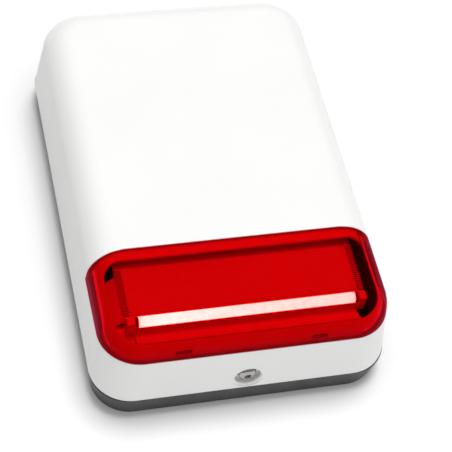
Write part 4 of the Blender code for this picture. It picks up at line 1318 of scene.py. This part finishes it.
@dataclass
class LightUnit:
    """The ribbed reflector, the lit tube in its holders and the drive board, all hung in the cover."""

    half: float = 79.5 * MM
    bowl_half: float = 73 * MM
    bowl_start: float = -117 * MM
    tube_y: float = -121.4 * MM
    tube_z: float = 71 * MM
    glass_radius: float = 3.5 * MM
    glass_half: float = 72.2 * MM
    shelf_end: float = -68.6 * MM
    shelf_low: float = 67 * MM
    rib_start: float = -79.8 * MM
    rib_top: float = 70 * MM
    rib_foot: float = 69 * MM
    rib_pitch: float = 1.6 * MM
    ribs: int = 22
    comb: float = 4.5 * MM
    boss: tuple[float, float] = (60 * MM, -72.4 * MM)
    board_top: float = 66.6 * MM
    board_thick: float = 1.6 * MM

    def outline(self) -> list[tuple[float, float]]:
        """Returns the reflector's section: a shelf, a ribbed face, then the trough under the tube."""
        points = [(self.shelf_end, self.rib_foot), (self.rib_start, self.rib_foot)]
        for rib in range(self.ribs):
            y = self.rib_start - rib * self.rib_pitch
            for along, drop in ((0.3, 0.1 * MM), (0.45, 0.0), (0.6, 0.1 * MM)):
                points.append((y - along * self.rib_pitch, self.rib_top - drop))
            points.append((y - 0.95 * self.rib_pitch, self.rib_foot))
        bowl = [
            (-116.4, 68.6), (-117.4, 65.2), (-119.8, 62.7), (-123.4, 61.8), (-128, 62.8), (-132.6, 65.3),
            (-136, 68.4),
        ]
        points += [(p.y, p.z) for p in smooth_route([(0, y * MM, z * MM) for y, z in bowl], 5)]
        under = [
            (-136.3, 68.4), (-136.3, 67), (-132.2, 63.7), (-127.8, 61.2), (-123.2, 60.2), (-118.9, 61.2),
            (-115.9, 64.2), (-115, 67),
        ]
        points += in_mm(*under)
        return [*points, (self.shelf_end, self.shelf_low)]

    def reflector(self, shop: Workshop) -> None:
        """Makes the reflector, its ribbed face ending in a comb of ribs each side."""
        steps = []
        below, above = 66 * MM, 71 * MM
        for side in (-1, 1):
            low, high = sorted((side * self.bowl_half, side * 100 * MM))
            steps.append(cut(block((low, -150 * MM, 50 * MM), (high, self.bowl_start, 80 * MM))))
            steps.append(cut(drum((side * self.boss[0], self.boss[1], below), M3_HOLE, 4 * MM, steps=20)))
            low, high = sorted((side * (self.half - self.comb), side * (self.half + MM)))
            notches = []
            for rib in range(self.ribs):
                y = self.rib_start - (rib + 0.95) * self.rib_pitch
                reach = 0.36 * self.rib_pitch
                notches.append(block((low, y - reach, below), (high, y + reach, above)))
            steps.append(cut(merged(*notches)))
        steps += [join(cheek) for cheek in self.cheeks(-1)]
        shape = prism(self.outline(), -self.half, self.half, Axis.X)
        shop.piece("ribbed_reflector", shop.carve(shape, steps), "white_inner", Body.COVER, ["reflector"])
        for side, word in SIDES:
            x, y = side * self.boss[0], self.boss[1]
            PanScrew(f"reflector_screw_{word}", x, y, self.shelf_low - GAP, 7.6 * MM, up=-1).build(
                shop, Body.COVER
            )

    def cheeks(self, side: int) -> list[Shape]:
        """Returns the sloping side cheek of one end, which carries the light out to the window's edge."""
        slope = [
            (side * 78.6 * MM, 66.2 * MM),
            (side * 79.4 * MM, 67.6 * MM),
            (side * 85.8 * MM, 61.4 * MM),
            (side * 85.2 * MM, 60.4 * MM),
        ]
        low, high = sorted((side * 72.7 * MM, side * 85.9 * MM))
        ledge = block((low, -133 * MM, 59.6 * MM), (high, -116 * MM, 60.6 * MM), 0.2 * MM)
        return [prism(slope, -117.3 * MM, -84 * MM, Axis.Y), ledge]

    def lamp(self, shop: Workshop) -> None:
        """Makes the tube, its metal end caps and pins, and the two holders."""
        end = self.glass_half
        cap = 1.4 * MM
        inner = end - cap
        place = (0, self.tube_y, self.tube_z)
        round_end = [
            (self.glass_radius * 0.97 * math.cos(t), inner + 0.5 * MM * math.sin(t)) for t in sweep(90, 5)
        ]
        profile = [
            (0, -round_end[-1][1]), *[(radius, -height) for radius, height in reversed(round_end[:-1])]
        ]
        profile += [*round_end[:-1], (0, round_end[-1][1])]
        shape = lathe(profile, place, Axis.X, 32)
        glass = shop.piece("glowing_tube", shape, "lamp_glass", Body.COVER, ["light_tube"])
        glass.visible_diffuse = False
        glass.visible_glossy = False
        for side, word in SIDES:
            radius = self.glass_radius
            ring = [
                (0, 0.6 * MM),
                (1.8 * MM, 0.6 * MM),
                (1.8 * MM, 0.2 * MM),
                (radius - 0.3 * MM, 0),
                (radius, 0.3 * MM),
            ]
            ring += [(radius, cap), (radius - 0.12 * MM, cap), (radius - 0.6 * MM, 0.8 * MM), (0, 0.8 * MM)]
            start = side * end
            ring = [(r, -side * height) for r, height in ring]
            metal = lathe(ring, (start, self.tube_y, self.tube_z), Axis.X, 32)
            shop.piece(f"tube_cap_{word}", metal, "steel", Body.COVER)
            low = min(start, start + side * 3.8 * MM)
            pin = drum((low, self.tube_y, self.tube_z), 1.1 * MM, 3.8 * MM, Axis.X, 0.25 * MM, 16)
            shop.piece(f"tube_pin_{word}", pin, "brass_tab", Body.COVER)
            shop.softened(f"tube_holder_{word}", "white_inner", Body.COVER, 0.35 * MM)

    def drive_board(self, shop: Workshop) -> None:
        """Makes the drive board under the reflector with its step-up coil and small parts."""
        low = self.board_top - self.board_thick
        plate = block((-35 * MM, -112 * MM, low), (35 * MM, -84 * MM, self.board_top), 0.15 * MM)
        shop.piece("lamp_drive_board", plate, "circuit_green", Body.COVER, ["lamp_board"])
        shop.softened("lamp_inverter", "black_moulding", Body.COVER, 0.5 * MM)
        for side, word in SIDES:
            for row in range(2):
                x, y = side * (17 + row * 6) * MM, (-106 + row * 3) * MM
                profile = in_mm(
                    (0, -6), (1.9, -6), (2.4, -5.5), (2.4, -1.4), (2.1, -1.1), (2.4, -0.8), (2.4, 0), (0, 0)
                )
                can = lathe(profile, (x, y, low - 0.05 * MM), steps=24)
                shop.piece(f"drive_can_{row}_{word}", can, "can_blue", Body.COVER)
        chips = [
            slab((x * MM, -90 * MM, low - 1.6 * MM), (6, 3.5, 1.55), 0.2 * MM) for x in (-28, -14, 6, 14)
        ]
        shop.piece("drive_chips", merged(*chips), "black_moulding", Body.COVER)
        pads = [slab((x * MM, -101 * MM, low - 0.12 * MM), (5, 10, 0.1)) for x in (20.5, 26.5)]
        shop.piece("contact_pads", merged(*pads), "brass_tab", Body.COVER)

    def build(self, shop: Workshop) -> None:
        """Makes the whole light unit."""
        self.reflector(shop)
        self.lamp(shop)
        self.drive_board(shop)


# Lock


@dataclass
class CoverLock:
    """The screw that locks the cover, the tongue on its shank and the steel bracket it hooks behind."""

    z: float = 30.3 * MM
    face: float = -147.3 * MM
    seat: float = -144.1 * MM
    tip: float = -131.4 * MM
    head: float = 5.9 * MM
    radius: float = 3 * MM

    def screw(self, shop: Workshop) -> None:
        """Makes the domed screw with its hexagon socket, ringed shank and riveted end."""
        height = self.seat - self.face
        dome = [(self.head * math.sin(t), height * 0.72 * (1 - math.cos(t))) for t in sweep(88, 12)]
        end = self.tip - self.face
        groove = height + 3.6 * MM
        shank = [(self.radius, height), (self.radius, groove), (self.radius * 0.86, groove + 0.2 * MM)]
        shank += [
            (self.radius * 0.86, groove + MM),
            (self.radius, groove + 1.2 * MM),
            (self.radius, end - 0.7 * MM),
        ]
        shank += [(self.radius * 0.8, end - 0.15 * MM), (self.radius * 0.5, end), (0, end)]
        profile = [*dome, (self.head, height - 0.3 * MM), (self.head - 0.3 * MM, height), *shank]
        shape = lathe(profile, (0, self.face, self.z), Axis.Y, 48)
        socket = drum((0, self.face - MM, self.z), 2.3 * MM, 2.8 * MM, Axis.Y, steps=6)
        lead_in = lathe(
            in_mm((0, 0), (2.9, 0), (2.0, 1.3), (0, 1.3)), (0, self.face - 0.55 * MM, self.z), Axis.Y, 32
        )
        shape = shop.carve(shape, [cut(socket), cut(lead_in)])
        shop.piece("lock_screw_domed", shape, "steel", Body.LOCK_SCREW, ["cover_screw"])

    def build(self, shop: Workshop) -> None:
        """Makes the screw, its tongue and the bracket."""
        self.screw(shop)
        shop.softened("lock_tongue", "zinc_sheet", Body.LOCK_SCREW, 0.5 * MM)
        shop.softened("lock_bracket", "zinc_sheet", Body.ROOT, 0.25 * MM)
        PanScrew("lock_bracket_screw", 0, -131 * MM, 9.6 * MM, 6 * MM).build(shop)


# Works inside the base


@dataclass
class Electronics:
    """The main board with its terminals, cans, coil, chip and plugs."""

    deck: float = 11.2 * MM
    low: float = 9.3 * MM
    half_x: float = 72 * MM
    y: tuple[float, float] = (30 * MM, 118 * MM)
    screws: tuple[tuple[float, float], ...] = tuple(
        (side * 66 * MM, y * MM) for y in (36, 112) for side in (-1, 1)
    )
    pitch: float = 5.2 * MM

    def board(self, shop: Workshop) -> None:
        """Makes the board, its fixing screws, solder pads and small surface parts."""
        outline = rounded_rectangle((-self.half_x, self.y[0]), (self.half_x, self.y[1]), [1.5 * MM] * 4, 4)
        top = self.low + 1.6 * MM
        holes = [cut(drum((x, y, self.low - MM), M3_HOLE, 4 * MM, steps=24)) for x, y in self.screws]
        plate = shop.carve(prism(outline, self.low, top), holes)
        shop.piece("controller_board", plate, "circuit_green", Body.ROOT, ["main_board"])
        for index, (x, y) in enumerate(self.screws):
            PanScrew(f"board_screw_{index + 1}", x, y, self.deck, 5 * MM).build(shop)
        pads = []
        for column in range(9):
            for row in range(3):
                x, y = (-60 + column * 5.4) * MM, (100 + row * 5) * MM
                pads.append(slab((x, y, top - 0.02 * MM), (2.4, 1.2, 0.52), 0.12 * MM, 1))
        for column in range(6):
            x, y = (12 + column * 7) * MM, 98 * MM
            pads.append(slab((x, y, top - 0.02 * MM), (3.6, 4.6, 1.12), 0.2 * MM, 1))
        shop.piece("surface_parts", merged(*pads), "black_moulding", Body.ROOT)

    def terminals(self, shop: Workshop, name: str, first_x: float, ways: int) -> None:
        """Makes a row of screw terminals with a screw in each well."""
        low_y, high_y, top = 33 * MM, 42 * MM, self.deck + 10 * MM
        shape = block((first_x, low_y, self.deck), (first_x + ways * self.pitch, high_y, top), 0.3 * MM)
        wells, heads = [], []
        for way in range(ways):
            x = first_x + self.pitch * (way + 0.5)
            wells.append(drum((x, 38.5 * MM, self.deck + 8 * MM), 1.9 * MM, 3 * MM, steps=20))
            wells.append(slab((x - 1.7 * MM, low_y - MM, self.deck + 1.5 * MM), (3.4, 3, 3.5)))
            wells.append(slab((x - 2.65 * MM, low_y - MM, top - 1.1 * MM), (0.1, 11, 2.1)))
            head = drum((x, 38.5 * MM, self.deck + 8.05 * MM), 1.7 * MM, 0.9 * MM, Axis.Z, 0.2 * MM, 20)
            slot = slab((x - 2 * MM, 38.2 * MM, self.deck + 8.55 * MM), (4, 0.6, 1.45))
            heads.append(shop.carve(head, [cut(slot)]))
        row = shop.carve(shape, [cut(merged(*wells))])
        shop.piece(f"{name}_row", row, "terminal_green", Body.ROOT, [name])
        shop.piece(f"{name}_screws", merged(*heads), "steel", Body.ROOT)

    def coil(self, shop: Workshop) -> None:
        """Makes the wound choke: a plastic core inside close turns of enamelled wire."""
        x, y, mid = -8 * MM, 66 * MM, self.deck + 5.1 * MM
        core = [
            (8.2, -3.4), (12.8, -3.4), (13.2, -3.0), (13.2, 3.0), (12.8, 3.4), (8.2, 3.4), (7.8, 3.0),
            (7.8, -3.0),
        ]
        shop.piece("choke_core", lathe(in_mm(*core), (x, y, mid), steps=48), "black_moulding", Body.ROOT)
        turns = []
        count = 26
        for turn in range(count):
            angle = math.tau * (turn + 0.5) / count
            loop = []
            for step in range(16):
                t = math.tau * step / 16
                reach = 10.5 * MM + 3.5 * MM * math.copysign(abs(math.cos(t)) ** 0.6, math.cos(t))
                rise = 4.0 * MM * math.copysign(abs(math.sin(t)) ** 0.6, math.sin(t))
                loop.append(Vector((x + reach * math.cos(angle), y + reach * math.sin(angle), mid + rise)))
            turns.append(tube(loop, 0.55 * MM, 6, closed=True))
        shop.piece("choke_winding", merged(*turns), "copper_coil", Body.ROOT, ["sounder_coil"])

    def can(self, shop: Workshop, index: int, x: float) -> None:
        """Makes one smoothing capacitor: a sleeved can whose bare top is scored with a cross."""
        radius, height, y = 8 * MM, 24 * MM, 66 * MM
        sleeve = [
            (0, 0),
            (radius, 0),
            (radius, 2.2 * MM),
            (radius - 0.35 * MM, 2.7 * MM),
            (radius - 0.55 * MM, 3.2 * MM),
        ]
        sleeve += [(radius - 0.35 * MM, 3.7 * MM), (radius, 4.2 * MM), (radius, height - 1.2 * MM)]
        sleeve += [
            (radius - 0.35 * MM, height - 0.5 * MM),
            (radius - MM, height - 0.1 * MM),
            (radius - 1.6 * MM, height - 0.2 * MM),
        ]
        sleeve += [(radius - 1.6 * MM, height - MM), (0, height - MM)]
        skin = lathe(sleeve, (x, y, self.deck), steps=40)
        shop.piece(f"can_sleeve_{index}", skin, "can_blue", Body.ROOT, [f"smoothing_capacitor_{index}"])
        lid = drum(
            (x, y, self.deck + height - 0.95 * MM), radius - 1.65 * MM, 0.7 * MM, soft=0.1 * MM, steps=40
        )
        half, level = radius - 3 * MM, self.deck + height - 0.5 * MM
        thin = 0.2 * MM
        scores = []
        for across, along in ((half, thin), (thin, half)):
            scores.append(block((x - across, y - along, level), (x + across, y + along, level + MM)))
        shape = shop.carve(lid, [cut(score) for score in scores])
        shop.piece(f"can_lid_{index}", shape, "steel", Body.ROOT)

    def build(self, shop: Workshop) -> None:
        """Makes the board and everything on it."""
        self.board(shop)
        self.terminals(shop, "input_terminals", -58 * MM, 10)
        self.terminals(shop, "battery_terminals", 10 * MM, 2)
        self.coil(shop)
        for index, x in enumerate((28 * MM, 50 * MM)):
            self.can(shop, index + 1, x)
        shop.softened("controller_chip", "black_moulding", Body.ROOT, 0.25 * MM)
        legs = []
        for leg in range(9):
            y = (81.2 + leg * 1.45) * MM
            for side, x in ((-1, -42 * MM), (1, -28 * MM)):
                low = min(x, x + side * 1.8 * MM)
                legs.append(slab((low, y, self.deck - 0.25 * MM), (1.8, 0.6, 0.4), 0.08 * MM, 1))
        shop.piece("chip_legs", merged(*legs), "steel", Body.ROOT)
        for name in ("sounder_plug", "lamp_plug", "tamper_plug"):
            shop.softened(name, "white_inner", Body.ROOT, 0.3 * MM)


@dataclass
class Sounder:
    """The horn over the floor slots with its driver on the throat."""

    y: float = -26 * MM
    rest: float = 8.3 * MM
    throat: float = 30 * MM
    mouth_radius: float = 32 * MM
    throat_radius: float = 7 * MM
    wall: float = 2 * MM

    def horn(self, shop: Workshop) -> None:
        """Makes the exponential horn with its foot flange and two ears."""
        height = self.throat - self.rest
        growth = math.log(self.mouth_radius / self.throat_radius) / height
        inner = [
            (self.throat_radius * math.exp(growth * height * i / 16), height * (1 - i / 16))
            for i in range(17)
        ]
        outer = [(radius + self.wall, level) for radius, level in inner[:-1] if level > 2.4 * MM]
        rim = self.mouth_radius + 4 * MM
        outer += [
            (self.mouth_radius + 1.2 * MM, 2 * MM), (rim - 0.3 * MM, 2 * MM), (rim, 1.7 * MM), (rim, 0)
        ]
        steps = []
        for side in (-1, 1):
            ear_y = self.y + side * 40 * MM
            low, high = sorted((ear_y - side * 6 * MM, ear_y + side * 4 * MM))
            outline = rounded_rectangle((-5 * MM, low), (5 * MM, high), [1.5 * MM] * 4, 4)
            steps.append(join(prism(outline, self.rest, self.rest + 2 * MM)))
            steps.append(cut(drum((0, ear_y, self.rest - MM), M3_HOLE, 4 * MM, steps=24)))
        shape = shop.carve(lathe([*outer, *reversed(inner)], (0, self.y, self.rest), steps=64), steps)
        shop.piece("horn_flare", shape, "black_moulding", Body.ROOT, ["horn"])

    def build(self, shop: Workshop) -> None:
        """Makes the horn, the driver with its cooling rings, and their screws."""
        self.horn(shop)
        start, depth, radius = self.throat + GAP, 17 * MM, 26 * MM
        shell = [(0, 0), (radius - 2 * MM, 0), (radius, 2 * MM)]
        for ring in range(4):
            level = (3.2 + 2.1 * ring) * MM
            shell += [
                (radius, level),
                (radius - 0.6 * MM, level + 0.3 * MM),
                (radius - 0.6 * MM, level + 0.9 * MM),
                (radius, level + 1.2 * MM),
            ]
        shell += [
            (radius, depth - 5 * MM), (radius - 0.5 * MM, depth - 3 * MM), (radius - 2 * MM, depth - 1 * MM)
        ]
        shell += [
            (radius - 4 * MM, depth), (12 * MM, depth), (11.6 * MM, depth - 0.6 * MM), (0, depth - 0.6 * MM)
        ]
        can = lathe(shell, (0, self.y, start), steps=64)
        shop.piece("driver_can", can, "black_moulding", Body.ROOT, ["sounder_driver"])
        plate = lathe(
            in_mm((0, 0), (10.5, 0), (10.2, 0.5), (0, 0.5)),
            (0, self.y, start + depth - 0.58 * MM),
            steps=48,
        )
        shop.piece("driver_plate", plate, "zinc_sheet", Body.ROOT)
        for word, y in (("low", self.y - 40 * MM), ("high", self.y + 40 * MM)):
            PanScrew(f"horn_screw_{word}", 0, y, self.rest + 2 * MM + GAP, 5 * MM).build(shop)


@dataclass
class Power:
    """The sealed battery with its strap, tabs and the sprung contacts that feed the light."""

    low: tuple[float, float, float] = (-48.5 * MM, -123.5 * MM, 3.3 * MM)
    high: tuple[float, float, float] = (48.5 * MM, -71.5 * MM, 46.3 * MM)

    def build(self, shop: Workshop) -> None:
        """Makes the battery, strap, tabs and contacts."""
        case = block(self.low, self.high, 1.1 * MM, 3)
        groove_z = self.high[2] - 6 * MM
        outer = block(
            (self.low[0] - MM, self.low[1] - MM, groove_z),
            (self.high[0] + MM, self.high[1] + MM, groove_z + 0.5 * MM),
        )
        soft = 0.45 * MM
        core = block(
            (self.low[0] + soft, self.low[1] + soft, groove_z - MM),
            (self.high[0] - soft, self.high[1] - soft, groove_z + 2 * MM),
        )
        ring = shop.carve(outer, [cut(core)])
        seamed = shop.carve(case, [cut(ring)])
        shop.piece("battery_case_seamed", seamed, "battery_case", Body.ROOT, ["battery"])
        vents = [
            drum((x * MM, -83 * MM, self.high[2] - 0.05 * MM), 2.2 * MM, 0.6 * MM, soft=0.15 * MM, steps=24)
            for x in (-20, 0, 20)
        ]
        shop.piece("battery_vents", merged(*vents), "black_rubber", Body.ROOT)
        shop.softened("battery_strap", "zinc_sheet", Body.ROOT, 0.25 * MM)
        for side, word in SIDES:
            PanScrew(f"strap_screw_{word}", side * 58 * MM, -97 * MM, 9.1 * MM, 5 * MM).build(shop)
        for word in ("red", "black"):
            shop.softened(f"battery_tab_{word}", "brass_tab", Body.ROOT, 0.12 * MM)
        shop.softened("lamp_contact_block", "black_moulding", Body.ROOT, 0.4 * MM)
        for word in ("left", "right"):
            shop.softened(f"lamp_contact_{word}", "brass_tab", Body.ROOT, 0.08 * MM)


@dataclass
class TamperSwitch:
    """The switch that feels the cover's post, on a tab that tears off if the siren is pulled off."""

    x: float = 70 * MM
    y: float = 15 * MM

    def build(self, shop: Workshop) -> None:
        """Makes the tab, switch, plunger and the switch's legs; the spring stays the CAD's own."""
        shop.softened("tear_off_tab", "charcoal_shell", Body.ROOT, 0.3 * MM)
        shop.softened("tamper_switch", "black_moulding", Body.ROOT, 0.4 * MM)
        shop.softened("tamper_plunger", "white_inner", Body.PLUNGER, 0.2 * MM)
        shop.dress("tamper_spring", "steel")
        legs = []
        for x in (self.x - 6 * MM, self.x, self.x + 6 * MM):
            legs.append(slab((x - 0.4 * MM, self.y - 3.6 * MM, 10 * MM), (0.8, 0.5, 7), 0.1 * MM))
        shop.piece("switch_legs", merged(*legs), "brass_tab", Body.ROOT)


@dataclass
class Wiring:
    """The leads that join the boards, battery, sounder, lamp and switch, and the grommet for the cable."""

    radius: float = 0.88 * MM
    routes: tuple[tuple[str, str, tuple[tuple[float, float, float], ...]], ...] = (
        (
            "battery_lead_red",
            "red_wire",
            (
                (38, -77.5, 54.3), (40, -70, 54), (43, -48, 42), (37, -6, 22), (24, 20, 16.5),
                (17.8, 32.5, 14.4),
            ),
        ),
        (
            "battery_lead_black",
            "black_wire",
            (
                (-38, -77.5, 54.3), (-40, -70, 54), (-43, -48, 42), (-36, -4, 24), (-12, 20, 20),
                (12.6, 32.5, 14.4),
            ),
        ),
        (
            "sounder_lead",
            "grey_wire",
            ((27.2, -22, 40), (33, -14, 39), (37, 10, 26), (34, 26, 16), (32, 32.4, 14)),
        ),
        (
            "lamp_lead",
            "grey_wire",
            (
                (32.8, -97, 52), (37, -95, 53), (46, -84, 55), (51, -66, 52), (52, -46, 44), (53, -4, 24),
                (47, 22, 15), (44, 32.4, 14),
            ),
        ),
        ("tamper_lead", "grey_wire", ((59, 15, 12), (56, 19, 12.5), (55, 26, 13.5), (55, 32.4, 14))),
    )

    def build(self, shop: Workshop) -> None:
        """Makes the leads and the grommet."""
        for name, slot, knots in self.routes:
            path = smooth_route(in_mm(*knots))
            shop.piece(f"{name}_wire", tube(path, self.radius), slot, Body.ROOT, [name])
        for side, word in SIDES:
            ends = in_mm((side * 38, -77.5, 52.6), (side * 38.2, -76.9, 56))
            shop.piece(f"tab_sleeve_{word}", tube(ends, 1.5 * MM, 16), "black_rubber", Body.ROOT)
        rings = [
            (11, 5), (11, 3.5), (10.7, 3.3), (8.6, 3.3), (8.6, 0.3), (6, 0.3), (5.6, 2.2), (5.3, 2.6),
            (5.0, 4.8), (5.3, 5),
        ]
        grommet = lathe(in_mm(*rings), (-70 * MM, 15 * MM, 0), steps=56)
        shop.piece("grommet_lipped", grommet, "black_rubber", Body.ROOT, ["cable_grommet"])


# Studio


@dataclass
class Studio:
    """A pale floor, soft light from above and a camera that looks down on the siren's lower end."""

    place: tuple[float, float, float] = (-0.2212, -0.6068, 0.8671)
    turns: tuple[float, float, float] = (36.126, -7.105, -12.243)
    lens: float = 120.1
    sky: tuple[float, float] = (0.0, 0.8)
    floor_tone: float = 0.83

    def floor(self) -> None:
        """Makes the floor: a wide sheet, very slightly uneven."""
        nodes = NodeTree("studio_floor")
        shader = nodes.add("BsdfPrincipled", Roughness=0.9, Specular_IOR_Level=0.1)
        tone = (self.floor_tone,) * 3
        nodes.link(nodes.blend(nodes.noise(3.0), shade(tone, 0.995), tone), shader.inputs["Base Color"])
        mesh = bpy.data.meshes.new("studio_floor")
        sheet = bmesh.new()
        bmesh.ops.create_grid(sheet, x_segments=4, y_segments=4, size=4)
        sheet.to_mesh(mesh)
        sheet.free()
        floor = bpy.data.objects.new("studio_floor", mesh)
        mesh.materials.append(nodes.finish(shader.outputs["BSDF"]))
        bpy.context.scene.collection.objects.link(floor)

    def sun(self, name: str, toward: Point, strength: float, spread: float, gloss: bool) -> None:
        """Adds a soft distant light that shines along a direction."""
        light = bpy.data.lights.new(name, "SUN")
        light.energy = strength
        light.angle = math.radians(spread)
        lamp = bpy.data.objects.new(name, light)
        lamp.rotation_euler = Vector(toward).to_track_quat("-Z", "Y").to_euler()
        lamp.visible_glossy = gloss
        bpy.context.scene.collection.objects.link(lamp)

    def build(self) -> None:
        """Makes the floor, the lights and the camera."""
        self.floor()
        world = bpy.data.worlds.new("studio")
        world.use_nodes = True
        sky = world.node_tree
        split, level = sky.nodes.new("ShaderNodeSeparateXYZ"), sky.nodes.new("ShaderNodeMapRange")
        sky.links.new(sky.nodes.new("ShaderNodeTexCoord").outputs["Generated"], split.inputs["Vector"])
        sky.links.new(split.outputs["Z"], level.inputs["Value"])
        level.inputs["To Min"].default_value, level.inputs["To Max"].default_value = self.sky
        sky.links.new(level.outputs["Result"], sky.nodes["Background"].inputs["Strength"])
        sky.nodes["Background"].inputs["Color"].default_value = (1.0, 1.0, 1.0, 1.0)
        bpy.context.scene.world = world
        self.sun("key", (-0.1, -0.17, -1.0), 2.2, 26, False)
        self.sun("fill", (-0.2, 1.0, -0.2), 0.68, 30, False)
        data = bpy.data.cameras.new("camera")
        data.lens = self.lens
        data.clip_start = 0.05
        camera = bpy.data.objects.new("camera", data)
        camera.location = self.place
        camera.rotation_euler = [math.radians(turn) for turn in self.turns]
        bpy.context.scene.collection.objects.link(camera)
        bpy.context.scene.camera = camera
        bpy.context.scene.view_settings.view_transform = "Standard"


def corners(bounds: tuple[Vector, Vector]) -> list[list[float]]:
    """Returns a pair of corners as plain lists."""
    return [[float(value) for value in corner] for corner in bounds]


def main() -> None:
    """Builds the siren, group by group, then the studio."""
    logging.basicConfig(level=logging.INFO, format="%(message)s")
    shop = Workshop(Palette())
    form = HousingForm()
    groups = (
        BaseTray(), CoverShell(form), LensPanel(form), LightUnit(), CoverLock(),
        Electronics(), Sounder(), Power(), TamperSwitch(), Wiring(),
    )
    for group in groups:
        group.build(shop)
        LOG.info("%s done", type(group).__name__)
    Studio().build()
    LOG.info("%d pieces in all", len(shop.made))


if __name__ == "__main__":
    main()
